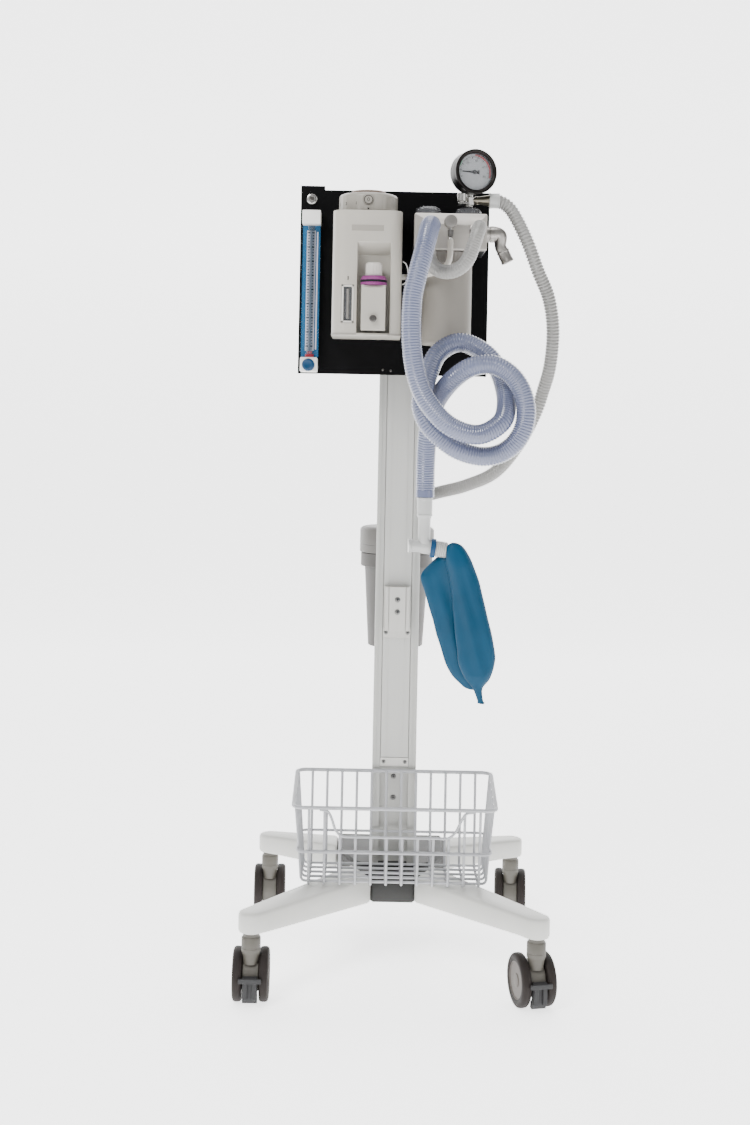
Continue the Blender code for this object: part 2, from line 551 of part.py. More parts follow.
# The button and the dial share a slot in the dial's front.
dial_z0 = VAP_Z1 + GAP
dial = lathe("vaporizer_dial", [(0, 0), (DIAL_R, 0), (DIAL_R, DIAL_H - 0.006), (DIAL_R - 0.004, DIAL_H - 0.001),
                                (0.026, DIAL_H), (0.025, DIAL_H + 0.0045), (0, DIAL_H + 0.0045)], IVORY, 36,
             (VAP_X, VAP_Y, dial_z0))
BUTTON_Z, BUTTON_R = 1.1390, 0.0072
join(dial, rod("button_bore", (VAP_X, VAP_Y - DIAL_R - 0.01, BUTTON_Z),
               (VAP_X, VAP_Y - DIAL_R + 0.012, BUTTON_Z),
               BUTTON_R + 0.0004, None, 20, collection=helpers), "DIFFERENCE")
rod("zero_lock_button", (VAP_X, VAP_Y - DIAL_R + 0.0065, BUTTON_Z), (VAP_X, VAP_Y - DIAL_R - 0.0022, BUTTON_Z),
    BUTTON_R, IVORY, 20)
fill_z = 1.0145
filler = prism("filler_block", [(-0.1800, 0.9500), (RECESS_Y - GAP, 0.9500), (RECESS_Y - GAP, fill_z),
                                (-0.1760, fill_z), (-0.1800, fill_z - 0.004)], FILL_X - 0.0173, FILL_X + 0.0173,
               IVORY, "X")
join(filler, rod("filler_neck", (FILL_X, FILL_Y, fill_z - 0.004), (FILL_X, FILL_Y, fill_z + 0.0022), 0.0100,
                 None, 16,
                 collection=helpers))
COLLAR_Z0, COLLAR_Z1 = fill_z + GAP, fill_z + 0.0133
lathe("filler_collar", [(0.0103, 0), (0.0188, 0), (0.0188, 0.0085), (0.0160, 0.0130), (0.0103, 0.0130)], PURPLE,
      20,
      (FILL_X, FILL_Y, COLLAR_Z0))
lathe("filler_plug", [(0, 0), (0.0097, 0), (0.0097, 0.0108), (0.0121, 0.0112), (0.0121, 0.0270),
                      (0.0095, 0.0302), (0, 0.0308)], WHITE, 20, (FILL_X, FILL_Y, fill_z + 0.0022 + GAP))
sight = box("sight_glass", (-0.0917, VAP_FRONT + 0.0008, 0.9608), (-0.0741, VAP_FRONT + 0.0057, 1.0152), CLEAR)
lathe("drain_screw", [(0, 0), (0.0036, 0), (0.0036, 0.0022), (0.0052, 0.0024), (0.0052, 0.0062),
                      (0.0042, 0.0070),
                      (0, 0.0070)], STEEL, 12, (FILL_X, -0.1800 - GAP, 0.9660), (0, -1, 0))
loop_x = vx1 + GAP
arc = [(loop_x + 0.0002 + 0.0085 * math.sin(math.pi * k / 10), -0.130,
        1.0362 + 0.0165 * math.cos(math.pi * k / 10))
       for k in range(11)]
wire("retaining_loop", arc, 0.0016, WHITE, 6)

# ---- valve manifold, one-way valves, ports, absorber canister, outlet elbow ----
manifold = bevel(box("manifold_block", (MAN_X0, MAN_Y0, MAN_Z0), (MAN_X1, PANEL_Y - GAP, MAN_Z1), ALU), 0.0015)
# The breathing hose starts on the left port's head, whose side branch takes the short supply hose.
HEAD_Y, PORT_Y, PORT_Z = -0.1990, -0.1895, 1.0965
join(manifold, rod("port_head", (LEFT_X, MAN_Y0 + 0.002, PORT_Z), (LEFT_X, HEAD_Y, PORT_Z), PORT_R, None, 20,
                   collection=helpers))
join(manifold, rod("head_branch", (LEFT_X, -0.1800, PORT_Z), (LEFT_X, -0.1800, 1.0640), 0.0085, None, 16,
                   collection=helpers))
SUPPLY_X = 0.1011
join(manifold, rod("port_right", (SUPPLY_X, MAN_Y0 + 0.002, PORT_Z), (SUPPLY_X, PORT_Y, PORT_Z), 0.0098, None,
                   20,
                   collection=helpers))
for mark, x in (("left", LEFT_X), ("right", RIGHT_X)):
    join(manifold, rod("seat_" + mark, (x, VALVE_Y, MAN_Z1 - 0.010), (x, VALVE_Y, MAN_Z1 + 0.01), 0.0165, None,
                       20,
                       collection=helpers), "DIFFERENCE")
    lathe("valve_disc_" + mark, [(0, 0), (0.0140, 0), (0.0140, 0.0014), (0, 0.0014)], WHITE, 20,
          (x, VALVE_Y, MAN_Z1 - 0.010 + GAP))
    z = MAN_Z1 + GAP
    shell = [(0.0160, 0), (VALVE_R, 0), (VALVE_R, 0.0045), (0.0185, 0.0105), (0.0110, 0.0148), (0, 0.0160),
             (0, 0.0140), (0.0100, 0.0128), (0.0150, 0.0090), (0.0160, 0.0045)]
    # A turned shell whose profile touches the axis twice.
    bm = bmesh.new()
    rings = []
    for radius, height in shell:
        if radius < 1e-6:
            rings.append([bm.verts.new((x, VALVE_Y, z + height))])
        else:
            rings.append([bm.verts.new((x + radius * math.cos(2 * math.pi * k / 20),
                                        VALVE_Y + radius * math.sin(2 * math.pi * k / 20), z + height))
                          for k in range(20)])
    for i, low in enumerate(rings):
        high = rings[(i + 1) % len(rings)]
        for k in range(20):
            m = (k + 1) % 20
            if len(low) == 1 and len(high) == 1:
                continue
            if len(low) == 1:
                bm.faces.new((low[0], high[k], high[m]))
            elif len(high) == 1:
                bm.faces.new((low[k], low[m], high[0]))
            else:
                bm.faces.new((low[k], low[m], high[m], high[k]))
    smooth(from_bmesh("valve_dome_" + mark, bm, CLEAR))

inlet = rod("fresh_gas_connector", (0.0622, MAN_Y0 - GAP, 1.1080), (0.0622, MAN_Y0 - 0.0180, 1.1080), 0.0092,
            STEEL, 20)
join(inlet, rod("inlet_drop", (0.0622, -0.1680, 1.1080), (0.0622, -0.1680, 1.0820), 0.0030, None, 12,
                collection=helpers))
lathe("absorber_canister", [(0, 0), (CAN_R - 0.003, 0), (CAN_R, 0.003), (CAN_R, 0.1180),
                            (CAN_R + 0.0018, 0.1190),
                            (CAN_R + 0.0018, MAN_Z0 - CAN_Z0 - GAP), (0.0300, MAN_Z0 - CAN_Z0 - GAP),
                            (0.0300, 0.0080), (0, 0.0080)], WHITE, 32, (CAN_X, CAN_Y, CAN_Z0))
EL_Z, EL_Y = 1.0963, -0.1180
elbow = rod("outlet_elbow", (MAN_X1 + GAP, EL_Y, EL_Z), (0.1390, EL_Y, EL_Z), 0.0124, STEEL, 20)
join(elbow, rod("elbow_arm", (0.1310, EL_Y, EL_Z - 0.002), (0.1475, EL_Y, 1.0590), 0.0083, None, 16,
                collection=helpers))
join(elbow, rod("elbow_tip", (0.1405, EL_Y, 1.0750), (0.1490, EL_Y, 1.0556), 0.0094, None, 16,
                collection=helpers))

# ---- pressure gauge on the tee over the right valve, with the relief valve ----
facing = Vector((math.sin(GAUGE_TURN), -math.cos(GAUGE_TURN), 0))
gauge_at = Vector((GAUGE_X, GAUGE_Y, GAUGE_Z))
back = gauge_at - facing * GAUGE_D / 2
case = [(0, 0), (GAUGE_R - 0.003, 0), (GAUGE_R - 0.001, 0.003), (GAUGE_R - 0.001, GAUGE_D - 0.006),
        (GAUGE_R, GAUGE_D - 0.006), (GAUGE_R, GAUGE_D), (GAUGE_R - 0.0035, GAUGE_D),
        (GAUGE_R - 0.0045, GAUGE_D - 0.009),
        (0, GAUGE_D - 0.009)]
lathe("gauge_case", case, DARK, 32, back, facing)
lens_at = back + facing * (GAUGE_D - 0.0035)
lathe("gauge_lens", [(0, 0), (GAUGE_R - 0.0041, 0), (GAUGE_R - 0.0041, 0.0016), (0, 0.0016)], CLEAR, 32,
      lens_at, facing)
needle_base = back + facing * (GAUGE_D - 0.009 + GAP)
across = Vector((-math.cos(GAUGE_TURN), -math.sin(GAUGE_TURN), 0))
up = Vector((0, 0, 1))
flat = [(-0.0200, 0.0003), (-0.0200, -0.0003), (-0.0028, -0.0011), (0.0, -0.0030), (0.0028, -0.0011),
        (0.0075, -0.0022),
        (0.0075, 0.0022), (0.0028, 0.0011), (0.0, 0.0030), (-0.0028, 0.0011)]
bm = bmesh.new()
base = [bm.verts.new(needle_base - across * a + up * b) for a, b in flat]
top = [bm.verts.new(needle_base - across * a + up * b + facing * 0.0008) for a, b in flat]
bm.faces.new(base)
bm.faces.new(top)
for i in range(len(flat)):
    j = (i + 1) % len(flat)
    bm.faces.new((base[i], base[j], top[j], top[i]))
from_bmesh("gauge_needle", bm, BLACK)

TEE_Y = VALVE_Y
dome_top = MAN_Z1 + GAP + 0.0160
tee = rod("relief_tee", (TEE_X, TEE_Y, dome_top + GAP), (TEE_X, TEE_Y, GAUGE_Z - GAUGE_R - GAP), 0.0060, STEEL,
          16)
join(tee, rod("tee_body", (TEE_X, TEE_Y, 1.1395), (TEE_X, TEE_Y, 1.1515), 0.0085, None, 6, collection=helpers))
join(tee, rod("tee_cone", (TEE_X, TEE_Y, TEE_Z), (0.1208, TEE_Y, TEE_Z), 0.0052, None, 20, 0.0086, helpers))
join(tee, box("tee_shelf", (0.0745, TEE_Y - 0.0240, 1.1390), (TEE_X, TEE_Y + 0.003, 1.1412), None, helpers))
lathe("relief_valve_knob", [(0, 0), (0.0060, 0), (0.0073, 0.0020), (0.0073, 0.0130), (0, 0.0135)], STEEL, 16,
      (0.0800, TEE_Y - 0.0175, 1.1412 + GAP))

# ---- hoses ----
BREATHING = [
    (LEFT_X, HEAD_Y - GAP, PORT_Z), (LEFT_X, -0.2130, PORT_Z), (0.0295, -0.232, 1.0890),
    (0.0250, -0.249, 1.070),
    (0.0200, -0.259, 1.048), (0.0140, -0.265, 1.024), (0.0070, -0.269, 0.987), (0.0070, -0.272, 0.930),
    (0.0150, -0.272, 0.882), (0.0320, -0.270, 0.846), (0.0620, -0.266, 0.816), (0.1010, -0.258, 0.805),
    (0.1330, -0.246, 0.822), (0.1420, -0.224, 0.848), (0.1390, -0.207, 0.876), (0.1280, -0.200, 0.902),
    (0.1110, -0.195, 0.921), (0.0830, -0.192, 0.934), (0.0620, -0.195, 0.930), (0.0440, -0.200, 0.915),
    (0.0345, -0.206, 0.893), (0.0270, -0.213, 0.868), (0.0235, -0.221, 0.843), (0.0330, -0.229, 0.818),
    (0.0540, -0.233, 0.797), (0.0780, -0.235, 0.782), (0.1070, -0.235, 0.775), (0.1320, -0.236, 0.779),
    (0.1520, -0.239, 0.793), (0.1645, -0.242, 0.815), (0.1675, -0.243, 0.841), (0.1605, -0.242, 0.868),
    (0.1440, -0.240, 0.890), (0.1200, -0.238, 0.902), (0.0910, -0.234, 0.898), (0.0670, -0.219, 0.881),
    (0.0490, -0.192, 0.857), (0.0385, -0.176, 0.830), (0.0345, -0.165, 0.798), (LIMB_X, -0.155, 0.765),
    (LIMB_X, LIMB_Y, 0.735), (LIMB_X, LIMB_Y, CUFF_TOP + GAP)]
SUPPLY = [
    (SUPPLY_X, PORT_Y - GAP, PORT_Z), (SUPPLY_X, -0.2000, PORT_Z), (0.0975, -0.211, 1.0850),
    (0.0920, -0.215, 1.0680),
    (0.0850, -0.216, 1.0500), (0.0735, -0.213, 1.0370), (0.0590, -0.207, 1.0320), (0.0450, -0.197, 1.0350),
    (0.0355, -0.186, 1.0450), (LEFT_X, -0.1800, 1.0560), (LEFT_X, -0.1800, 1.0640 - GAP)]
SCAV = [(0.1208 + GAP, TEE_Y, TEE_Z), (0.1330, TEE_Y, TEE_Z), (0.1475, -0.1060, 1.1395),
        (0.1600, -0.1070, 1.1230),
        (0.1780, -0.1080, 1.0870), (0.1950, -0.100, 1.046), (0.2130, -0.085, 1.008), (0.2220, -0.070, 0.962),
        (0.2210, -0.050, 0.910), (0.2130, -0.030, 0.870), (0.2040, -0.020, 0.839), (0.1830, 0.000, 0.793),
        (0.1490, 0.030, 0.746), (0.1060, 0.070, 0.722), (0.0640, 0.112, 0.708), (0.0300, 0.142, 0.696),
        (0.0080, 0.158, 0.682), (0.0, BIN_Y, 0.6650), (0.0, BIN_Y, 0.6560)]
FRESH = [(0.0622, -0.1680, 1.0820 - GAP), (0.0622, -0.1680, 1.0640), (0.0600, -0.1660, 1.0500),
         (0.0520, -0.1610, 1.0400), (0.0400, -0.1540, 1.0350), (0.0250, -0.1430, 1.0330),
         (0.0130, -0.1280, 1.0322), (0.0050, -0.1150, 1.0320), (0.0000, -0.1120, 1.0320),
         (vx1 + GAP, -0.1120, 1.0320)]
cord("breathing_hose", BREATHING, HOSE_D, HOSE, 0.030)
cord("supply_hose", SUPPLY, SCAV_D, GREY_HOSE, 0.012)
cord("scavenging_hose", SCAV, SCAV_D, GREY_HOSE, 0.026)
cord("fresh_gas_tube", FRESH, TUBE_D, CLEAR, 0.012, 2)

# ---- patient connector and breathing bag ----
PIECE_Z, NECK_Z = CUFF_TOP - 0.0430, 0.6415
cuff = [(0, 0), (0.0090, 0), (0.0095, 0.0150), (0.0116, 0.0170), (0.0116, 0.0430), (0, 0.0430)]
connector = lathe("patient_connector", cuff, WHITE, 20, (LIMB_X, LIMB_Y, PIECE_Z))
join(connector, rod("connector_drop", (LIMB_X, LIMB_Y, NECK_Z - 0.004), (LIMB_X, LIMB_Y, PIECE_Z + 0.004),
                    0.0088, None,
                    20, collection=helpers))
join(connector, rod("connector_port", (0.0110, LIMB_Y, NECK_Z + 0.0015), (0.0460, LIMB_Y, NECK_Z - 0.0015),
                    0.0100,
                    None, 20, collection=helpers))
neck_dir = Vector((0.96, 0, -0.12)).normalized()
neck_at = Vector((0.0465, LIMB_Y, NECK_Z - 0.0020))
collar = lathe("bag_collar", [(0, 0), (0.0132, 0), (0.0132, 0.0060), (0.0108, 0.0063), (0.0108, 0.0190),
                              (0, 0.0190)],
               BLUE, 20, neck_at, neck_dir)

BAG = [
    # distance along, centre x, centre z, half width, half depth, lean of the ring in degrees from the neck's
    (0.0672, 0.6365, 0.0085, 0.0090, 4), (0.0710, 0.6350, 0.0145, 0.0130, 12),
    (0.0735, 0.6270, 0.0275, 0.0190, 38),
    (0.0715, 0.6060, 0.0400, 0.0220, 68), (0.0765, 0.5800, 0.0435, 0.0225, 74),
    (0.0835, 0.5520, 0.0420, 0.0225, 76),
    (0.0925, 0.5230, 0.0395, 0.0215, 74), (0.1010, 0.4950, 0.0375, 0.0200, 74),
    (0.1080, 0.4680, 0.0330, 0.0180, 72),
    (0.1125, 0.4500, 0.0250, 0.0145, 70), (0.1150, 0.4390, 0.0120, 0.0095, 72),
    (0.1165, 0.4320, 0.0055, 0.0055, 74),
    (0.1180, 0.4190, 0.0048, 0.0048, 74)]
bm = bmesh.new()
rings = []
for cx, cz, wide, deep, lean in BAG:
    a = math.radians(lean)
    out_dir = Vector((math.sin(a), 0, math.cos(a)))
    rings.append([bm.verts.new(Vector((cx, LIMB_Y, cz)) + out_dir * wide * math.cos(2 * math.pi * k / 20)
                               + Vector((0, 1, 0)) * deep * math.sin(2 * math.pi * k / 20)) for k in range(20)])
for low, high in zip(rings, rings[1:]):
    for k in range(20):
        m = (k + 1) % 20
        bm.faces.new((low[k], low[m], high[m], high[k]))
bm.faces.new(rings[0])
bm.faces.new(rings[-1])
bag = smooth(from_bmesh("breathing_bag", bm, TEAL), 60)

# ---- holder behind the column with the scavenging canister ----
holder = lathe("canister_holder", [(0, 0), (0.0445, 0), (0.0520, 0.1290), (BIN_R, 0.1292), (BIN_R, 0.1510),
                                   (0.0540, 0.1510), (0.0540, 0.1330), (0.0485, 0.1290), (0.0415, 0.0040),
                                   (0, 0.0040)],
               BIN_GREY, 28, (0, BIN_Y, BIN_Z0))
join(holder, box("holder_hook", (-0.020, COL_Y1 + GAP, BIN_Z0 + 0.130),
                 (0.020, BIN_Y - 0.0545, BIN_Z0 + 0.1505), None,
                 helpers))
lathe("scavenging_canister", [(0, 0), (0.0395, 0), (0.0470, 0.1260), (0.0525, 0.1340), (0.0525, 0.1472),
                              (0.0605, 0.1476), (0.0605, 0.1840), (0.0570, 0.1890), (0.0150, 0.1895),
                              (0.0115, 0.1955), (0, 0.1955)], BIN_GREY, 28, (0, BIN_Y, BIN_Z0 + 0.0043))
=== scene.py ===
"""The looks of a trolley-mounted veterinary anesthesia machine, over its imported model."""

import math

import bmesh
import bpy
from mathutils import Matrix, Vector, noise


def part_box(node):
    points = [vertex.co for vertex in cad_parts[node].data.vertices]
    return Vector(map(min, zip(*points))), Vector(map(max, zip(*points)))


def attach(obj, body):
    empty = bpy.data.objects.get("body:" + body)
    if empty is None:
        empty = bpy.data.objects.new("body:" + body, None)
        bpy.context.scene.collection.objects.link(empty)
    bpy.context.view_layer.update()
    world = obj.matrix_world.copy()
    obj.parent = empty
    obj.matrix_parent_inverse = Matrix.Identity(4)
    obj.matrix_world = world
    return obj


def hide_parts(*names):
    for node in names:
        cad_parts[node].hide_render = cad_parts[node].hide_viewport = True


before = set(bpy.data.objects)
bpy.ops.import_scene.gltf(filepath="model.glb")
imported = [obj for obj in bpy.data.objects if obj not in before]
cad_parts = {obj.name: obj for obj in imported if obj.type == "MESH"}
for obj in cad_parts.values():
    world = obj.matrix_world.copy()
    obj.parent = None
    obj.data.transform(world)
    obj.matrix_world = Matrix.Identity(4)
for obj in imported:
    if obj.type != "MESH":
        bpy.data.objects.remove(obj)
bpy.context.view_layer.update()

# ---- driving values, in metres ----
CAMERA_AT, CAMERA_ROLL, LENS = (-0.045, -2.42, 0.823), math.radians(1.117), 50.5
SHIFT_X, SHIFT_Y = 0.0028, -0.1271
STEM_X, STEM_Y, TRAIL = 0.200, 0.2075, 0.016
CASTER_TURN = {"front_left": 1, "front_right": 14, "rear_left": 2, "rear_right": 356}
FORK_W, WHEEL_R, WHEEL_T, AXLE_R = 0.0235, 0.0375, 0.0135, 0.005
HOSE_D, SCAV_D, TUBE_D = 0.0280, 0.0205, 0.0085
FRAME = "frame"
MANIFOLD_FACE = 0.016            # the bright front plate of the manifold; the rest is black, painted shade for the dark underside and rear of the block
GLOW = 2.3                       # the sweep behind the object gives off a little light of its own


def low(node):
    return Vector(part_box(node)[0])


def high(node):
    return Vector(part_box(node)[1])


def middle(node):
    return (low(node) + high(node)) / 2


# ---- materials: every one has its own colour variation and roughness, and most a bump ----
def srgb(r, g, b):
    return tuple(c / 255 / 12.92 if c <= 10 else ((c / 255 + 0.055) / 1.055) ** 2.4
                 for c in (r, g, b)) + (1.0,)


def material(name, colour, rough, metal=0.0, vary=0.06, scale=40.0, bump=0.0, bump_scale=600.0,
             stretch=(1, 1, 1),
             coat=0.0, alpha=1.0, through=0.0, sheen=0.0, specular=0.5):
    """A procedural finish: clouded colour and roughness, with a grain that stretches as brushing does."""
    made = bpy.data.materials.new(name)
    made.use_nodes = True
    tree = made.node_tree
    shader = tree.nodes["Principled BSDF"]
    shader.inputs["Metallic"].default_value = metal
    shader.inputs["Coat Weight"].default_value = coat
    shader.inputs["Coat Roughness"].default_value = 0.12
    shader.inputs["Alpha"].default_value = alpha
    shader.inputs["Transmission Weight"].default_value = through
    shader.inputs["Sheen Weight"].default_value = sheen
    shader.inputs["Specular IOR Level"].default_value = specular
    where = tree.nodes.new("ShaderNodeTexCoord")
    mapping = tree.nodes.new("ShaderNodeMapping")
    mapping.inputs["Scale"].default_value = stretch
    tree.links.new(where.outputs["Object"], mapping.inputs["Vector"])
    cloud = tree.nodes.new("ShaderNodeTexNoise")
    cloud.inputs["Scale"].default_value = scale
    cloud.inputs["Detail"].default_value = 4.0
    tree.links.new(mapping.outputs["Vector"], cloud.inputs["Vector"])
    ramp = tree.nodes.new("ShaderNodeValToRGB")
    ramp.color_ramp.elements[0].position, ramp.color_ramp.elements[1].position = 0.3, 0.7
    ramp.color_ramp.elements[0].color = tuple(c * (1 - vary) for c in colour[:3]) + (1.0,)
    ramp.color_ramp.elements[1].color = tuple(min(1.0, c * (1 + vary)) for c in colour[:3]) + (1.0,)
    tree.links.new(cloud.outputs["Fac"], ramp.inputs["Fac"])
    tree.links.new(ramp.outputs["Color"], shader.inputs["Base Color"])
    spread = tree.nodes.new("ShaderNodeMapRange")
    spread.inputs["To Min"].default_value = max(0.02, rough * 0.85)
    spread.inputs["To Max"].default_value = min(1.0, rough * 1.2)
    tree.links.new(cloud.outputs["Fac"], spread.inputs["Value"])
    tree.links.new(spread.outputs["Result"], shader.inputs["Roughness"])
    if bump:
        grain = tree.nodes.new("ShaderNodeTexNoise")
        grain.inputs["Scale"].default_value = bump_scale
        grain.inputs["Detail"].default_value = 2.0
        relief = tree.nodes.new("ShaderNodeBump")
        relief.inputs["Strength"].default_value = bump
        relief.inputs["Distance"].default_value = 0.0003
        tree.links.new(mapping.outputs["Vector"], grain.inputs["Vector"])
        tree.links.new(grain.outputs["Fac"], relief.inputs["Height"])
        tree.links.new(relief.outputs["Normal"], shader.inputs["Normal"])
    return made


BRUSH_X, BRUSH_Z = (0.04, 1, 1), (1, 1, 0.03)
LEG_PAINT = material("leg_powder_coat", srgb(196, 196, 191), 0.38, bump=0.12, bump_scale=900, vary=0.02)
HUB_PLASTIC = material("hub_plastic", srgb(50, 50, 49), 0.55, bump=0.35, bump_scale=700, specular=0.25)
CASTER_PLASTIC = material("caster_plastic", srgb(84, 81, 74), 0.5, bump=0.25, bump_scale=800, vary=0.05)
DISC_PLASTIC = material("wheel_disc_plastic", srgb(84, 78, 73), 0.5, bump=0.2, bump_scale=800, specular=0.3)
TYRE = material("tyre_rubber", srgb(36, 31, 29), 0.62, bump=0.4, bump_scale=900, vary=0.15, specular=0.2)
PEDAL = material("pedal_plastic", srgb(50, 50, 51), 0.5, bump=0.3, bump_scale=700, specular=0.25)
COLUMN_ALU = material("column_anodised", srgb(168, 168, 164), 0.4, 0.35, stretch=BRUSH_Z, scale=160,
                      bump=0.10,
                      bump_scale=900, vary=0.025)
COVER_ALU = material("cover_anodised", srgb(178, 178, 174), 0.42, 0.3, stretch=BRUSH_Z, scale=160, bump=0.10,
                     bump_scale=900, vary=0.025)
RAIL_ALU = material("rail_anodised", srgb(184, 183, 178), 0.36, 0.5, stretch=BRUSH_Z, scale=200, bump=0.12,
                    bump_scale=900, vary=0.03)
COATED_WIRE = material("coated_wire", srgb(160, 161, 164), 0.33, bump=0.08, bump_scale=900, vary=0.03)
BLACK_PAINT = material("black_paint", srgb(6, 6, 7), 0.55, bump=0.3, bump_scale=1500, vary=0.2, specular=0.06)
STEEL = material("polished_steel", srgb(188, 187, 184), 0.24, 1.0, vary=0.05, bump=0.08)
SATIN = material("satin_nickel", srgb(150, 147, 143), 0.36, 1.0, vary=0.06, bump=0.12)
DARK_STEEL = material("dark_steel", srgb(104, 102, 99), 0.3, 1.0, vary=0.08, bump=0.08)
BRASS = material("nickel_brass", srgb(158, 152, 138), 0.34, 1.0, vary=0.06, bump=0.08)
SCREW_STEEL = material("screw_steel", srgb(120, 120, 118), 0.32, 1.0, vary=0.08, bump=0.1)
# Black for screw recesses, the outlet's mouth and the inside behind the sight window: painted shade in these
# hollows.
RECESS_SHADE_BLACK = material("painted_recess_shade", srgb(20, 20, 20), 0.6, vary=0.1, bump=0.1)
FLOW_TINT = material("flowmeter_tinted_plastic", srgb(50, 110, 150), 0.12, vary=0.05, scale=20, alpha=0.06,
                     coat=0.2)
FLOW_GLASS = material("flowmeter_tube_glass", srgb(200, 206, 216), 0.05, vary=0.02, alpha=0.06, coat=0.6)
# Pale white for the flowmeter's scale strip, and for the painted highlight strip beside it.
SCALE_AND_HIGHLIGHT_WHITE = material("scale_and_highlight_white", srgb(190, 188, 198), 0.5, vary=0.03, bump=0.05, specular=0.2)
WHITE_PLASTIC = material("white_plastic", srgb(226, 225, 222), 0.4, bump=0.12, bump_scale=700, vary=0.02)
PRINT_DARK = material("print_dark", srgb(22, 23, 26), 0.6, vary=0.1, bump=0.05, specular=0.1)
KNOB_BLUE = material("blue_knob_plastic", srgb(3, 50, 82), 0.35, bump=0.1, vary=0.05, specular=0.3)
FLOAT_RED = material("float_red", srgb(150, 18, 26), 0.35, vary=0.08, specular=0.3)
ENAMEL = material("vaporizer_enamel", srgb(166, 162, 153), 0.36, bump=0.10, bump_scale=700, vary=0.018,
                  coat=0.12)
SIGHT_FRAME = material("sight_frame_enamel", srgb(192, 189, 182), 0.35, bump=0.08, vary=0.015, coat=0.15)
ENAMEL_DIAL = material("dial_enamel", srgb(140, 136, 128), 0.36, bump=0.10, bump_scale=700, vary=0.02,
                       coat=0.12)
ENAMEL_DARK = material("vaporizer_base_enamel", srgb(136, 132, 125), 0.42, bump=0.12, bump_scale=700,
                       vary=0.03)
DISC_BROWN = material("dial_cap_plastic", srgb(120, 104, 94), 0.5, bump=0.2, bump_scale=800, specular=0.3)
PURPLE = material("filler_purple", srgb(122, 52, 108), 0.4, bump=0.12, vary=0.05, specular=0.3)
CAP_MILK = material("filler_cap_milky", srgb(196, 190, 184), 0.35, vary=0.03, through=0.15, coat=0.2,
                    bump=0.05)
MANIFOLD_ALU = material("manifold_brushed", srgb(174, 170, 164), 0.34, 0.55, stretch=BRUSH_X, scale=220,
                        bump=0.16,
                        bump_scale=900, vary=0.03)
# Black for the manifold's rear and underside: painted shade where the block sits in deep shadow.
REAR_BLACK_AND_SHADE = material("black_rear_and_painted_shade", srgb(24, 24, 25), 0.4, 0.3, vary=0.1, bump=0.1, specular=0.2)
CLEAR = material("clear_dome_plastic", srgb(150, 152, 156), 0.03, vary=0.02, alpha=0.15, coat=1.0)
GAUGE_GLASS = material("gauge_glass", srgb(200, 204, 208), 0.04, vary=0.01, alpha=0.04, coat=0.5)
VALVE_DARK = material("valve_seat_dark", srgb(26, 25, 25), 0.35, vary=0.15, bump=0.1, specular=0.25)
VALVE_DISC = material("valve_disc_ceramic", srgb(128, 126, 122), 0.4, vary=0.03, bump=0.05)
GAUGE_FACE = material("gauge_face", srgb(130, 132, 134), 0.5, vary=0.03, bump=0.05, specular=0.2)
GAUGE_BEZEL = material("gauge_bezel", srgb(34, 32, 31), 0.38, 1.0, vary=0.1, bump=0.05)
MARK_RED = material("gauge_mark_red", srgb(128, 26, 34), 0.5, vary=0.05)
MARK_GREEN = material("gauge_mark_green", srgb(70, 120, 92), 0.5, vary=0.05)
NEEDLE = material("needle_black", srgb(12, 12, 12), 0.5, vary=0.1, specular=0.1)
CANISTER = material("absorber_grey", srgb(115, 111, 104), 0.5, bump=0.2, bump_scale=500, vary=0.03)
# The absorber's top collar: a real ring, its darker grey painted shade from the manifold above it.
CANISTER_COLLAR_SHADE = material("absorber_collar_painted_shade", srgb(94, 90, 85), 0.45, bump=0.15, bump_scale=500)
HOSE_BLUE = material("breathing_hose_plastic", srgb(98, 104, 130), 0.17, vary=0.05, scale=30, through=0.10,
                     coat=0.5)
HOSE_GREY = material("scavenging_hose_plastic", srgb(130, 129, 126), 0.3, vary=0.05, scale=30, through=0.08,
                     coat=0.25)
TUBE_CLEAR = material("fresh_gas_tube_plastic", srgb(206, 201, 192), 0.15, vary=0.03, through=0.35, coat=0.5)
CUFF_WHITE = material("cuff_translucent", srgb(178, 179, 177), 0.3, vary=0.03, through=0.15, coat=0.3,
                      bump=0.05)
BAG_TEAL = material("bag_silicone", srgb(2, 56, 82), 0.45, vary=0.10, scale=14, bump=0.25, bump_scale=420,
                    specular=0.18)
RING_BLUE = material("ring_blue", srgb(8, 56, 92), 0.4, vary=0.05, bump=0.1, specular=0.3)
HOLDER = material("holder_grey", srgb(80, 78, 76), 0.5, bump=0.2, bump_scale=600, vary=0.03)
HOLDER_DARK = material("holder_collar_dark", srgb(74, 72, 70), 0.5, bump=0.2, bump_scale=600)
SCAVENGER = material("scavenger_grey", srgb(98, 96, 93), 0.42, bump=0.15, bump_scale=600, vary=0.03)


# ---- making and registering pieces ----
def settle(obj, body, finish=None, nodes=()):
    """Gives a piece its material, the body that it rides on, and the CAD nodes that it stands for."""
    if finish:
        obj.data.materials.clear()
        obj.data.materials.append(finish)
    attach(obj, body)
    if nodes:
        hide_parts(*nodes)
    return obj


def from_bmesh(name, bm, smooth_angle=35):
    bmesh.ops.recalc_face_normals(bm, faces=bm.faces)
    mesh = bpy.data.meshes.new(name)
    bm.to_mesh(mesh)
    bm.free()
    mesh.shade_smooth()
    mesh.set_sharp_from_angle(angle=math.radians(smooth_angle))
    obj = bpy.data.objects.new(name, mesh)
    bpy.context.scene.collection.objects.link(obj)
    return obj


def apply(obj):
    """Bakes the modifiers into the mesh."""
    graph = bpy.context.evaluated_depsgraph_get()
    mesh = bpy.data.meshes.new_from_object(obj.evaluated_get(graph))
    obj.modifiers.clear()
    obj.data = mesh
    return obj


def edge(obj, width, segments=2, angle=38):
    """Rounds the sharp edges and keeps the flats flat."""
    mod = obj.modifiers.new("Bevel", "BEVEL")
    mod.width, mod.segments, mod.limit_method = width, segments, "ANGLE"
    mod.angle_limit, mod.harden_normals = math.radians(angle), True
    return apply(obj)


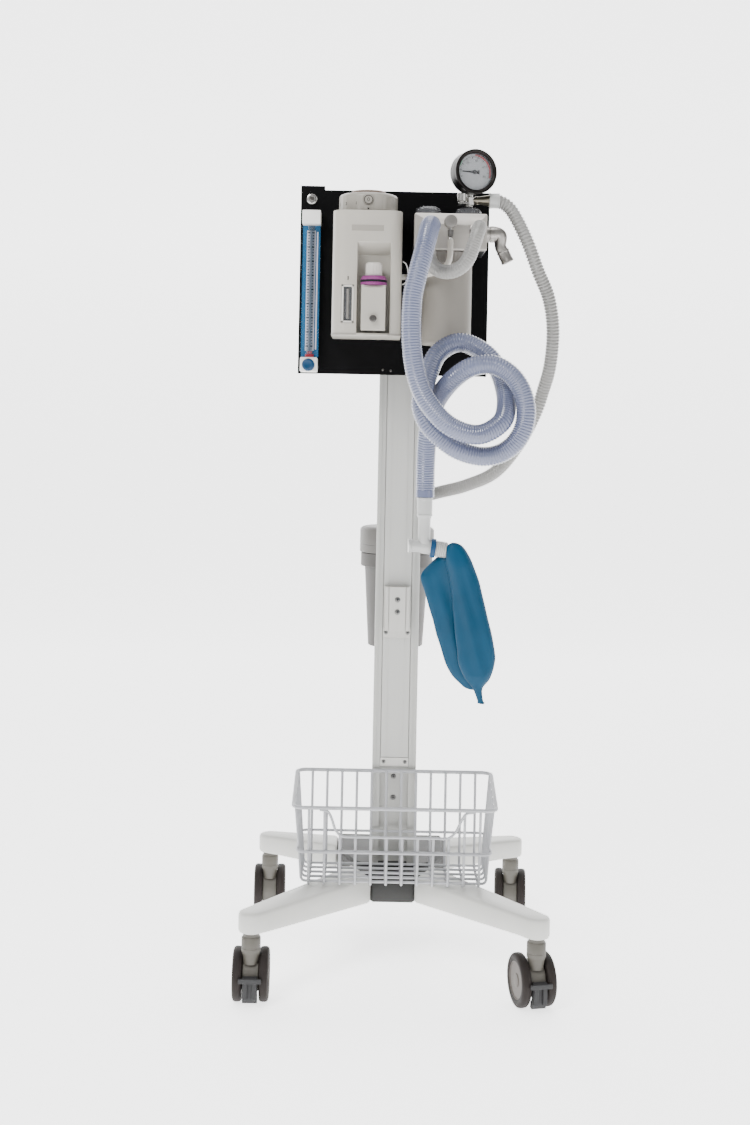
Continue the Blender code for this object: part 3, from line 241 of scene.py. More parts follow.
def refine(node, width, segments=2, angle=38):
    """A copy of a CAD node with its triangles merged into flats and its edges rounded."""
    bm = bmesh.new()
    bm.from_mesh(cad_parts[node].data)
    bmesh.ops.remove_doubles(bm, verts=bm.verts, dist=2e-6)
    bmesh.ops.dissolve_limit(bm, angle_limit=math.radians(0.6), verts=bm.verts, edges=bm.edges)
    obj = from_bmesh("fine_" + node, bm)
    return edge(obj, width, segments, angle) if width else obj


def box(name, low_at, high_at, width=0.0, segments=2):
    bm = bmesh.new()
    bmesh.ops.create_cube(bm, size=1.0)
    size = Vector(high_at) - Vector(low_at)
    bmesh.ops.scale(bm, vec=size, verts=bm.verts)
    bmesh.ops.translate(bm, vec=(Vector(low_at) + Vector(high_at)) / 2, verts=bm.verts)
    obj = from_bmesh(name, bm)
    return edge(obj, width, segments) if width else obj


def prism(name, outline, start, end, up="Z", width=0.0, segments=2):
    """A flat outline drawn out along one axis. The outline is (x, y) for Z, (x, z) for Y, (y, z) for X."""
    order = {"Z": lambda a, b, c: (a, b, c),
             "Y": lambda a, b, c: (a, c, b),
             "X": lambda a, b, c: (c, a, b)}[up]
    bm = bmesh.new()
    first = [bm.verts.new(order(a, b, start)) for a, b in outline]
    last = [bm.verts.new(order(a, b, end)) for a, b in outline]
    bm.faces.new(first)
    bm.faces.new(last)
    for i in range(len(outline)):
        j = (i + 1) % len(outline)
        bm.faces.new((first[i], first[j], last[j], last[i]))
    obj = from_bmesh(name, bm)
    return edge(obj, width, segments) if width else obj


def lathe(name, profile, at=(0, 0, 0), axis=(0, 0, 1), steps=64, ripple=None, smooth_angle=32):
    """A turned piece. Its profile is (radius, height); ripple(angle, height) scales the radius."""
    bm = bmesh.new()
    rings = []
    for radius, height in profile:
        if radius < 1e-6:
            rings.append([bm.verts.new((0, 0, height))])
            continue
        ring = []
        for k in range(steps):
            a = 2 * math.pi * (k + 0.5) / steps
            r = radius * (ripple(a, height) if ripple else 1.0)
            ring.append(bm.verts.new((r * math.cos(a), r * math.sin(a), height)))
        rings.append(ring)
    closed = len(rings[0]) > 1 or len(rings[-1]) > 1
    pairs = list(zip(rings, rings[1:])) + ([(rings[-1], rings[0])] if closed else [])
    for near, far in pairs:
        if len(near) == 1 and len(far) == 1:
            continue
        for k in range(steps):
            m = (k + 1) % steps
            if len(near) == 1:
                bm.faces.new((near[0], far[k], far[m]))
            elif len(far) == 1:
                bm.faces.new((near[k], near[m], far[0]))
            else:
                bm.faces.new((near[k], near[m], far[m], far[k]))
    obj = from_bmesh(name, bm, smooth_angle)
    turn = Vector((0, 0, 1)).rotation_difference(Vector(axis)).to_matrix().to_4x4()
    obj.data.transform(Matrix.Translation(at) @ turn)
    return obj


def knurl(count, depth, low_h, high_h):
    """A ripple of vertical grooves between two heights."""
    def scale(a, h):
        return 1 - depth * (0.5 + 0.5 * math.cos(count * a)) if low_h <= h <= high_h else 1.0
    return scale


def wires(name, lines, diameter, resolution=4):
    """Round wires: one curve object with a spline for each line, given as (points, closed)."""
    curve = bpy.data.curves.new(name, "CURVE")
    curve.dimensions, curve.bevel_depth = "3D", diameter / 2
    curve.bevel_resolution, curve.use_fill_caps = resolution, True
    for points, closed in lines:
        spline = curve.splines.new("POLY")
        spline.points.add(len(points) - 1)
        for point, at in zip(spline.points, points):
            point.co = (*at, 1)
        spline.use_cyclic_u, spline.use_smooth = closed, True
    obj = bpy.data.objects.new(name, curve)
    bpy.context.scene.collection.objects.link(obj)
    return obj


def soften(points, radius, steps=5):
    """Rounds the corners of an open line of points."""
    points = [Vector(p) for p in points]
    out = [points[0]]
    for before, here, after in zip(points, points[1:], points[2:]):
        cut = min(radius, (here - before).length * 0.45, (after - here).length * 0.45)
        start = here + (before - here).normalized() * cut
        end = here + (after - here).normalized() * cut
        for k in range(steps + 1):
            t = k / steps
            out.append(start * (1 - t) ** 2 + here * 2 * t * (1 - t) + end * t ** 2)
    return out + [points[-1]]


def rounded(x0, y0, x1, y1, radius, steps=8):
    """The outline of a rectangle with rounded corners, anticlockwise."""
    out = []
    corners = ((x1 - radius, y0 + radius, -90), (x1 - radius, y1 - radius, 0),
               (x0 + radius, y1 - radius, 90), (x0 + radius, y0 + radius, 180))
    for mx, my, start in corners:
        for k in range(steps + 1):
            a = math.radians(start + 90 * k / steps)
            out.append((mx + radius * math.cos(a), my + radius * math.sin(a)))
    return out


def text(name, words, size, at, turn, body, finish, depth=0.00015):
    """A printed number: a thin raised text laid on a surface."""
    font = bpy.data.curves.new(name, "FONT")
    font.body, font.size, font.extrude = words, size, depth
    font.align_x, font.align_y = "CENTER", "CENTER"
    obj = bpy.data.objects.new(name, font)
    bpy.context.scene.collection.objects.link(obj)
    obj.matrix_world = Matrix.Translation(at) @ turn
    return settle(obj, body, finish)


FACE_FRONT = Matrix.Rotation(math.radians(90), 4, "X")


def cross_screw(name, at, radius, body, axis=(0, -1, 0), finish=SCREW_STEEL, height=0.0016):
    """A domed screw head with a cross recess, drawn as a black cross: painted shade in the recess."""
    head = lathe(name, [(0, 0), (radius, 0), (radius, height * 0.35), (radius * 0.8, height * 0.8),
                        (radius * 0.4, height), (0, height * 1.02)], at, axis, 32)
    settle(head, body, finish)
    axis = Vector(axis)
    side = axis.cross(Vector((0, 0, 1)) if abs(axis.z) < 0.9 else Vector((1, 0, 0))).normalized()
    up = axis.cross(side).normalized()
    middle_at = Vector(at) + axis * height * 0.99
    long, thin, deep = radius * 0.55, radius * 0.14, height * 0.05
    for k, (a, b) in enumerate(((side, up), (up, side))):
        bm = bmesh.new()
        bmesh.ops.create_cube(bm, size=1.0)
        shape = Matrix((a * long * 2, b * thin * 2, axis * deep * 2)).transposed().to_4x4()
        bmesh.ops.transform(bm, matrix=Matrix.Translation(middle_at) @ shape, verts=bm.verts)
        settle(from_bmesh("%s_slot_%d" % (name, k), bm), body, RECESS_SHADE_BLACK)


# ---- camera ----
def add_camera():
    camera = bpy.data.objects.new("camera", bpy.data.cameras.new("camera"))
    bpy.context.scene.collection.objects.link(camera)
    camera.data.lens, camera.data.sensor_width = LENS, 36
    camera.data.shift_x, camera.data.shift_y = SHIFT_X, SHIFT_Y
    camera.data.clip_start, camera.data.clip_end = 0.05, 60
    look = Matrix.Rotation(math.radians(90), 4, "X") @ Matrix.Rotation(CAMERA_ROLL, 4, "Z")
    camera.matrix_world = Matrix.Translation(CAMERA_AT) @ look
    bpy.context.scene.camera = camera


add_camera()

# ---- hoses: the same routes as the part's, at their real lengths ----
PORT_X, HEAD_Y, PORT_Z = 0.0322, -0.1990, 1.0965
LIMB_X, LIMB_Y, CUFF_TOP, GAP = 0.0335, -0.1500, 0.7125, 0.0003
BREATHING = [
    (PORT_X, HEAD_Y - GAP, PORT_Z), (PORT_X, -0.2130, PORT_Z), (0.0295, -0.232, 1.0890),
    (0.0250, -0.249, 1.070),
    (0.0200, -0.259, 1.048), (0.0140, -0.265, 1.024), (0.0070, -0.269, 0.987), (0.0070, -0.272, 0.930),
    (0.0150, -0.272, 0.882), (0.0320, -0.270, 0.846), (0.0620, -0.266, 0.816), (0.1010, -0.258, 0.805),
    (0.1330, -0.246, 0.822), (0.1420, -0.224, 0.848), (0.1390, -0.207, 0.876), (0.1280, -0.200, 0.902),
    (0.1110, -0.195, 0.921), (0.0830, -0.192, 0.934), (0.0620, -0.195, 0.930), (0.0440, -0.200, 0.915),
    (0.0345, -0.206, 0.893), (0.0270, -0.213, 0.868), (0.0235, -0.221, 0.843), (0.0330, -0.229, 0.818),
    (0.0540, -0.233, 0.797), (0.0780, -0.235, 0.782), (0.1070, -0.235, 0.775), (0.1320, -0.236, 0.779),
    (0.1520, -0.239, 0.793), (0.1645, -0.242, 0.815), (0.1675, -0.243, 0.841), (0.1605, -0.242, 0.868),
    (0.1440, -0.240, 0.890), (0.1200, -0.238, 0.902), (0.0910, -0.234, 0.898), (0.0670, -0.219, 0.881),
    (0.0490, -0.192, 0.857), (0.0385, -0.176, 0.830), (0.0345, -0.165, 0.798), (LIMB_X, -0.155, 0.765),
    (LIMB_X, LIMB_Y, 0.735), (LIMB_X, LIMB_Y, CUFF_TOP + GAP)]
SUPPLY_X = 0.1011
SUPPLY = [
    (SUPPLY_X, -0.1895 - GAP, PORT_Z), (SUPPLY_X, -0.2000, PORT_Z), (0.0975, -0.211, 1.0850),
    (0.0920, -0.215, 1.0680), (0.0850, -0.216, 1.0500), (0.0735, -0.213, 1.0370), (0.0590, -0.207, 1.0320),
    (0.0450, -0.197, 1.0350), (0.0355, -0.186, 1.0450), (PORT_X, -0.1800, 1.0560),
    (PORT_X, -0.1800, 1.0640 - GAP)]
TEE_Y, TEE_Z, BIN_Y = -0.1050, 1.1470, 0.1620
SCAV = [(0.1208 + GAP, TEE_Y, TEE_Z), (0.1330, TEE_Y, TEE_Z), (0.1475, -0.1060, 1.1395),
        (0.1600, -0.1070, 1.1230),
        (0.1780, -0.1080, 1.0870), (0.1950, -0.100, 1.046), (0.2130, -0.085, 1.008), (0.2220, -0.070, 0.962),
        (0.2210, -0.050, 0.910), (0.2130, -0.030, 0.870), (0.2040, -0.020, 0.839), (0.1830, 0.000, 0.793),
        (0.1490, 0.030, 0.746), (0.1060, 0.070, 0.722), (0.0640, 0.112, 0.708), (0.0300, 0.142, 0.696),
        (0.0080, 0.158, 0.682), (0.0, BIN_Y, 0.6650), (0.0, BIN_Y, 0.6560)]
FRESH_X, FRESH_Y = 0.0622, -0.1680
FRESH = [(FRESH_X, FRESH_Y, 1.0820 - GAP), (FRESH_X, FRESH_Y, 1.0640), (0.0600, -0.1660, 1.0500),
         (0.0520, -0.1610, 1.0400), (0.0400, -0.1540, 1.0350), (0.0250, -0.1430, 1.0330),
         (0.0130, -0.1280, 1.0322), (0.0050, -0.1150, 1.0320), (0.0000, -0.1120, 1.0320),
         (-0.0060 + GAP, -0.1120, 1.0320)]


def route(points, step):
    """Evenly spaced points on a smooth curve through the given ones, with a straight lead at each end."""
    pts = [Vector(p) for p in points]
    pts = [pts[0] * 2 - pts[1]] + pts + [pts[-1] * 2 - pts[-2]]
    fine = []
    for a, b, c, d in zip(pts, pts[1:], pts[2:], pts[3:]):
        for k in range(24):
            t = k / 24
            fine.append(0.5 * (2 * b + (c - a) * t + (2 * a - 5 * b + 4 * c - d) * t ** 2
                               + (3 * b - a - 3 * c + d) * t ** 3))
    fine.append(pts[-2])
    lengths = [0.0]
    for a, b in zip(fine, fine[1:]):
        lengths.append(lengths[-1] + (b - a).length)
    count = max(2, round(lengths[-1] / step))
    out, i = [], 0
    for k in range(count + 1):
        want = lengths[-1] * k / count
        while i < len(fine) - 2 and lengths[i + 1] < want:
            i += 1
        span = lengths[i + 1] - lengths[i]
        out.append(fine[i].lerp(fine[i + 1], 0 if span == 0 else (want - lengths[i]) / span))
    return out


def smooth_step(t):
    t = min(1.0, max(0.0, t))
    return t * t * (3 - 2 * t)


def swept(name, line, radius_at, sides):
    """A closed tube along the line, whose radius follows the distance along it."""
    bm = bmesh.new()
    rings, up, gone = [], None, 0.0
    for i, here in enumerate(line):
        along = (line[min(i + 1, len(line) - 1)] - line[max(i - 1, 0)]).normalized()
        if i:
            gone += (here - line[i - 1]).length
        if up is None:
            up = Vector((0, 0, 1)) if abs(along.z) < 0.7 else Vector((0, 1, 0))
        side = along.cross(up).normalized()
        up = side.cross(along).normalized()
        r = radius_at(gone)
        rings.append([bm.verts.new(here + (side * math.cos(a) + up * math.sin(a)) * r)
                      for a in (2 * math.pi * k / sides for k in range(sides))])
    for near, far in zip(rings, rings[1:]):
        for k in range(sides):
            m = (k + 1) % sides
            bm.faces.new((near[k], near[m], far[m], far[k]))
    bm.faces.new(rings[0])
    bm.faces.new(rings[-1])
    return from_bmesh(name, bm, 75)


def corrugated(name, points, diameter, pitch, depth, sides=24):
    """A ribbed hose, with plain ends that fit into its cuffs, and the line that it follows."""
    line = route(points, pitch / 5)
    total = sum((b - a).length for a, b in zip(line, line[1:]))

    def radius_at(gone):
        plain = gone < 0.010 or total - gone < 0.010
        wave = 0.5 - 0.5 * math.cos(2 * math.pi * gone / pitch)
        return diameter / 2 - depth * (0.5 if plain else wave ** 1.6)

    return swept(name, line, radius_at, sides), line


def add_hoses():
    """Every free hose, at its real length: 1.26 m, 0.16 m, 0.72 m and 0.13 m."""
    hose, line = corrugated("corrugated_breathing_hose", BREATHING, HOSE_D, 0.0038, 0.0012, 28)
    settle(hose, FRAME, HOSE_BLUE, ["breathing_hose"])
    supply, supply_line = corrugated("corrugated_supply_hose", SUPPLY, SCAV_D, 0.0036, 0.0008)
    settle(supply, FRAME, HOSE_GREY, ["supply_hose"])
    scav, scav_line = corrugated("corrugated_scavenging_hose", SCAV, SCAV_D, 0.0050, 0.0019)
    settle(scav, FRAME, HOSE_GREY, ["scavenging_hose"])
    fresh_line = route(FRESH, 0.004)
    fresh = swept("smooth_fresh_gas_tube", fresh_line, lambda gone: TUBE_D / 2, 24)
    settle(fresh, FRAME, TUBE_CLEAR, ["fresh_gas_tube"])
    return (hose, line), (supply, supply_line), (scav, scav_line), (fresh, fresh_line)


HOSES = add_hoses()


# ---- base ----
def add_base():
    settle(refine("base_hub", 0.0), FRAME, HUB_PLASTIC, ["base_hub"])
    for label in CASTER_TURN:
        node = "leg_" + label
        settle(refine(node, 0.0), FRAME, LEG_PAINT, [node])


def add_caster(label, turn_deg):
    """A swivel housing, two wheels with their discs and, in front, a brake pedal."""
    sx = -1 if label.endswith("left") else 1
    sy = -1 if label.startswith("front") else 1
    turn = Matrix.Rotation(math.radians(turn_deg), 4, "Z")
    stem = Matrix.Translation((sx * STEM_X, sy * STEM_Y, 0)) @ turn
    body, node, half = "swivel_" + label, "caster_" + label, FORK_W / 2
    hood = []
    for a in range(-10, 191, 10):
        hood.append((TRAIL + 0.0285 * math.cos(math.radians(a)),
                     WHEEL_R + 0.0285 * math.sin(math.radians(a))))
    hood += [(TRAIL - 0.020, WHEEL_R - 0.018), (TRAIL + 0.020, WHEEL_R - 0.018)]
    housing = prism("caster_housing_" + label, hood, -half, half, "X", 0.0018, 3)
    top = high(node).z
    neck = lathe("caster_neck_" + label, [
        (0, 0.058), (0.0105, 0.058), (0.0110, 0.0640), (0.0115, 0.0700), (0.0128, 0.0735), (0.0135, 0.0755),
        (0.0135, 0.0800), (0.0131, 0.0804), (0.0131, 0.0812), (0.0135, 0.0816), (0.0135, top - 0.0067),
        (0.0128, top - 0.0055), (0.0115, top - 0.0047), (0.0115, top), (0, top)], steps=56)
    reach = half + GAP + WHEEL_T - 0.0045
    axle = lathe("caster_axle_" + label, [(0, 0), (AXLE_R, 0), (AXLE_R, 2 * reach), (0, 2 * reach)],
                 (-reach, TRAIL, WHEEL_R), (1, 0, 0), 32)
    for piece in (housing, neck, axle):
        piece.data.transform(stem)
    settle(housing, body, CASTER_PLASTIC, [node])
    settle(neck, body, CASTER_PLASTIC)
    settle(axle, body, DARK_STEEL)
    bore, deep = AXLE_R + 0.00015, WHEEL_T - 0.0040
    for side, mark in ((-1, "left"), (1, "right")):
        roller, wheel = "roller_%s_%s" % (label, mark), "wheel_%s_%s" % (label, mark)
        at = stem @ Vector((side * (half + GAP), TRAIL, WHEEL_R))
        axis = turn @ Vector((side, 0, 0))
        tread = [(0.0264, 0.0), (0.0330, 0.0), (0.0355, 0.0005), (0.0370, 0.0022), (0.0375, 0.0050),
                 (0.0375, 0.0088), (0.0368, 0.0112), (0.0350, 0.0128), (0.0325, 0.0135), (0.0300, 0.0133),
                 (0.0280, 0.0127), (0.0264, 0.0124)]
        tyre = lathe("tyre_" + wheel, tread, at, axis, 72)
        settle(tyre, roller, TYRE, [wheel])
        disc = [(0, deep), (bore, deep), (bore, 0), (0.02635, 0), (0.02635, 0.0119), (0.0258, 0.0124),
                (0.0250, 0.0122), (0.0243, 0.0112), (0.0100, 0.0108), (0.0092, 0.0118), (0.0070, 0.0122),
                (0, 0.0122)]
        settle(lathe("disc_" + wheel, disc, at, axis, 72), roller, DISC_PLASTIC)
    if sy < 0:
        add_pedal(label, stem, 1 if math.cos(math.radians(turn_deg)) > 0 else -1)


def add_pedal(label, stem, way):
    """A lever between the wheels, with a wide foot bar in front of them and two prongs below it."""
    near = TRAIL - 0.0285 if way > 0 else -(TRAIL + 0.0285)
    body = "pedal_" + label
    side = [(near - 0.0085, 0.0405), (near - 0.0070, 0.0435), (near - 0.0004, 0.0440),
            (near - 0.0004, 0.0205),
            (near + 0.0040, 0.0160), (near + 0.0060, 0.0070), (near - 0.0010, 0.0060),
            (near - 0.0060, 0.0150),
            (near - 0.0062, 0.0330)]
    lever = prism("pedal_lever_" + label, [(way * y, z) for y, z in side], -0.0105, 0.0105, "X", 0.0007)
    lever.data.transform(stem)
    settle(lever, body, PEDAL, ["brake_pedal_" + label])
    blocks = {"bar": (-0.0160, 0.0160, -0.0140, -0.0100, 0.0372, 0.0440),
              "bridge": (-0.0098, 0.0098, -0.0115, -0.0070, 0.0378, 0.0434),
              "prong_left": (-0.0096, -0.0034, -0.0098, -0.0050, 0.0130, 0.0385),
              "prong_right": (0.0034, 0.0096, -0.0098, -0.0050, 0.0130, 0.0385)}
    for part, (x0, x1, y0, y1, z0, z1) in blocks.items():
        ends = sorted((way * (near + y0), way * (near + y1)))
        block = box("pedal_%s_%s" % (part, label), (x0, ends[0], z0), (x1, ends[1], z1), 0.0010, 3)
        block.data.transform(stem)
        settle(block, body, PEDAL)


add_base()
for caster_label, caster_deg in CASTER_TURN.items():
    add_caster(caster_label, caster_deg)


# ---- column ----
def mirrored(half_outline):
    """The whole outline of a mirrored shape, from its right half, listed from front to back."""
    return [(x, y) for x, y in half_outline] + [(-x, y) for x, y in half_outline[::-1]]


def add_column():
    lo, hi = low("column"), high("column")
    half, front, back = hi.x, lo.y, hi.y
    inner, floor = high("channel_cover").x + GAP, high("channel_cover").y + GAP
    groove_x, side0, side1 = half - 0.0060, 0.056, 0.069
    right = [(0.0006, floor), (inner, floor), (inner, front), (groove_x - 0.0005, front),
             (groove_x - 0.0005, front + 0.0006), (groove_x + 0.0005, front + 0.0006),
             (groove_x + 0.0005, front),
             (half - 0.0016, front), (half - 0.0005, front + 0.0005), (half, front + 0.0016), (half, side0),
             (half - 0.003, side0), (half - 0.003, side1), (half, side1), (half, back - 0.0016),
             (half - 0.0005, back - 0.0005), (half - 0.0016, back), (0.0006, back)]
    column = prism("column_extrusion", mirrored(right), lo.z, hi.z, "Z")
    settle(column, FRAME, COLUMN_ALU, ["column"])
    cap = box("column_end_cap", (-half + 0.0015, front + 0.0015, hi.z),
              (half - 0.0015, back - 0.0015, hi.z + 0.0025),
              0.0008)
    settle(cap, FRAME, HUB_PLASTIC)
    lo, hi = low("channel_cover"), high("channel_cover")
    line = 0.0125
    right = [(0.0005, lo.y), (line - 0.0004, lo.y), (line - 0.0004, lo.y + 0.0005),
             (line + 0.0004, lo.y + 0.0005),
             (line + 0.0004, lo.y), (hi.x - 0.0008, lo.y), (hi.x, lo.y + 0.0008), (hi.x, hi.y),
             (0.0005, hi.y)]
    cover = prism("cover_strip", mirrored(right), lo.z + 0.0145, hi.z, "Z")
    settle(cover, FRAME, COVER_ALU, ["channel_cover"])
    foot = box("cover_foot_plate", (lo.x, lo.y - 0.0006, lo.z), (hi.x, hi.y, lo.z + 0.0140), 0.0005)
    settle(foot, FRAME, RAIL_ALU)
    for k, x in enumerate((-0.0165, 0.0165)):
        cross_screw("cover_screw_%d" % k, (x, lo.y - 0.0006, lo.z + 0.0075), 0.0030, FRAME)
    for k, z in enumerate((0.2676, 0.2349)):
        cross_screw("basket_screw_%d" % k, (-0.0006, floor, z), 0.0040, FRAME, height=0.0026)
    lo, hi = low("accessory_rail_block"), high("accessory_rail_block")
    plate, groove, half, wing = 0.0125, 0.0011, 0.0185, 0.0205
    right = [(0.0005, lo.y), (plate, lo.y), (plate, lo.y + 0.0028), (plate + groove, lo.y + 0.0028),
             (plate + groove, lo.y + 0.0012), (half - 0.0006, lo.y + 0.0012), (half, lo.y + 0.0018),
             (half, lo.y + 0.0055),
             (half - 0.002, lo.y + 0.0075), (half - 0.002, lo.y + 0.0125), (wing, lo.y + 0.0125),
             (wing, hi.y),
             (0.0005, hi.y)]
    rail = prism("accessory_rail", mirrored(right), lo.z + 0.0122, hi.z, "Z", 0.0003)
    settle(rail, FRAME, RAIL_ALU, ["accessory_rail_block"])
    foot = box("accessory_rail_foot", (lo.x, 0.0265, lo.z), (hi.x, hi.y, lo.z + 0.0160), 0.0008)
    settle(foot, FRAME, RAIL_ALU)
    lip = box("accessory_rail_lip", (-half, 0.0225, lo.z + 0.0120), (half, 0.0268, lo.z + 0.0148), 0.0005)
    settle(lip, FRAME, RAIL_ALU)
    for k, z in enumerate((0.546, 0.527)):
        cross_screw("rail_screw_%d" % k, (0, lo.y, z), 0.0042, FRAME, height=0.0020)
    for k, x in enumerate((-0.0168, 0.0168)):
        cross_screw("rail_foot_screw_%d" % k, (x, 0.0265, lo.z + 0.008), 0.0032, FRAME)


add_column()

# ---- wire basket ----
BASKET_W, BASKET_Y0, BASKET_Y1 = 0.152, -0.118, 0.0245
BASKET_LOW, BASKET_MID, BASKET_FRONT, BASKET_BACK = 0.1375, 0.1878, 0.2544, 0.2800
RIM_D, WIRE_D = 0.0056, 0.0040
LOW_X, LOW_Y0, LOW_Y1 = BASKET_W - 0.0095, BASKET_Y0 + 0.012, BASKET_Y1 - 0.006
SCOOP = [(-0.110, 0), (-0.098, -0.004), (-0.092, -0.016), (-0.087, -0.033), (-0.078, -0.0430),
         (0.080, -0.0430),
         (0.090, -0.033), (0.097, -0.016), (0.104, -0.004), (0.116, 0)]


def rim_height(y):
    """The rim falls from the back to the front."""
    t = (y - BASKET_Y0) / (BASKET_Y1 - BASKET_Y0)
    t = min(1.0, max(0.0, (t - 0.12) / 0.76))
    return BASKET_FRONT + (BASKET_BACK - BASKET_FRONT) * t


def scoop_drop(x):
    """How far below the front rim an upright ends, where the scooped front wire passes."""
    for (xa, za), (xb, zb) in zip(SCOOP, SCOOP[1:]):
        if xa <= x <= xb:
            return za + (zb - za) * (x - xa) / (xb - xa)
    return 0.0


def add_basket():
    """Round welded wires: a thick rim and thin uprights, floor wires, middle loop and scooped front wire."""
    edge_in = RIM_D / 2
    rim = [(x, y, rim_height(y)) for x, y in
           rounded(-BASKET_W + edge_in, BASKET_Y0 + edge_in, BASKET_W - edge_in, BASKET_Y1 - edge_in, 0.016)]
    long_rim = []
    for a, b in zip(rim, rim[1:] + rim[:1]):
        count = max(1, round((Vector(b) - Vector(a)).length / 0.010))
        for k in range(count):
            p = Vector(a).lerp(Vector(b), k / count)
            long_rim.append((p.x, p.y, rim_height(p.y)))
    settle(wires("basket_rim", [(long_rim, True)], RIM_D, 5), FRAME, COATED_WIRE,
           ["wire_basket"])
    frac = (BASKET_MID - BASKET_LOW) / (BASKET_FRONT - BASKET_LOW)
    mid_x = LOW_X + (BASKET_W - LOW_X) * frac - 0.0035
    mid_y0 = LOW_Y0 + (BASKET_Y0 - LOW_Y0) * frac + 0.0035
    mid_y1 = LOW_Y1 + (BASKET_Y1 - LOW_Y1) * frac - 0.0035
    lines = [([(x, y, BASKET_MID) for x, y in rounded(-mid_x, mid_y0, mid_x, mid_y1, 0.014)], True)]
    layer = WIRE_D - 0.0009
    for k in range(12):
        x = -0.1255 + 0.02282 * k
        inner0, inner1 = mid_y0 + layer, mid_y1 - layer
        top = BASKET_FRONT + scoop_drop(x)
        lean0, lean1 = BASKET_Y0 + edge_in + layer - 0.0006, BASKET_Y1 - edge_in - layer + 0.0006
        t = (top - BASKET_MID) / (BASKET_FRONT - BASKET_MID)
        points = [(x, inner0 + (lean0 - inner0) * t, top), (x, inner0 + 0.0005, BASKET_MID),
                  (x, LOW_Y0 + 0.009, BASKET_LOW), (x, LOW_Y1 - 0.007, BASKET_LOW),
                  (x, inner1 - 0.0005, BASKET_MID), (x, lean1, BASKET_BACK)]
        lines.append((soften(points, 0.007), False))
    for k in range(5):
        y = LOW_Y0 + 0.0165 + k * (LOW_Y1 - LOW_Y0 - 0.031) / 4
        z, rise = BASKET_LOW + layer, mid_x - layer
        arm = [(BASKET_W - edge_in - layer + 0.0006, y, rim_height(y)), (rise, y, BASKET_MID),
               (LOW_X - 0.006, y, z)]
        points = [(-px, py, pz) for px, py, pz in arm] + arm[::-1]
        lines.append((soften(points, 0.007), False))
    scoop = []
    for x, dz in SCOOP:
        t = (BASKET_FRONT + dz - BASKET_MID) / (BASKET_FRONT - BASKET_MID)
        y = mid_y0 + (BASKET_Y0 + edge_in - mid_y0) * t
        scoop.append((x, y + (0.0006 if dz else 0.0), BASKET_FRONT + dz - (0.0028 if dz == 0 else 0)))
    lines.append((soften(scoop, 0.006), False))
    t = (0.1576 - BASKET_LOW) / (BASKET_MID - BASKET_LOW)
    back_y = LOW_Y1 - 0.006 + (mid_y1 - LOW_Y1 + 0.006) * t - 2 * layer
    lines.append(([(-0.1340, back_y, 0.1576), (0, back_y, 0.1576), (0.1340, back_y, 0.1576)], False))
    settle(wires("basket_wires", lines, WIRE_D, 4), FRAME, COATED_WIRE)


add_basket()


# ---- panel, bracket and oxygen inlet fitting ----
def add_panel():
    settle(refine("panel", 0.0006), FRAME, BLACK_PAINT, ["panel"])
    settle(refine("panel_bracket", 0.0006), FRAME, BLACK_PAINT, ["panel_bracket"])
    y = low("panel").y
    at = (-0.1415, y, 1.1530)
    washer = lathe("inlet_washer", [(0, 0), (0.0078, 0), (0.0078, 0.0008), (0.0070, 0.0012), (0, 0.0012)], at,
                   (0, -1, 0), 48)
    settle(washer, FRAME, STEEL)
    nut = lathe("inlet_hex_nut", [(0, 0.0012), (0.0062, 0.0012), (0.0066, 0.0018), (0.0066, 0.0052),
                                  (0.0060, 0.0060), (0, 0.0060)], at, (0, -1, 0), 6, smooth_angle=20)
    settle(nut, FRAME, STEEL)
    stud = lathe("inlet_stud",
                 [(0, 0.0060), (0.0034, 0.0060), (0.0034, 0.0088), (0.0026, 0.0096), (0.0012, 0.0096),
                                (0.0012, 0.0080), (0, 0.0080)], at, (0, -1, 0), 32)
    settle(stud, FRAME, DARK_STEEL)
    for k, (x, z) in enumerate(((-0.030, 0.898), (-0.018, 0.897))):
        cross_screw("panel_screw_%d" % k, (x, y, z), 0.0018, FRAME, finish=DARK_STEEL, height=0.0009)


add_panel()


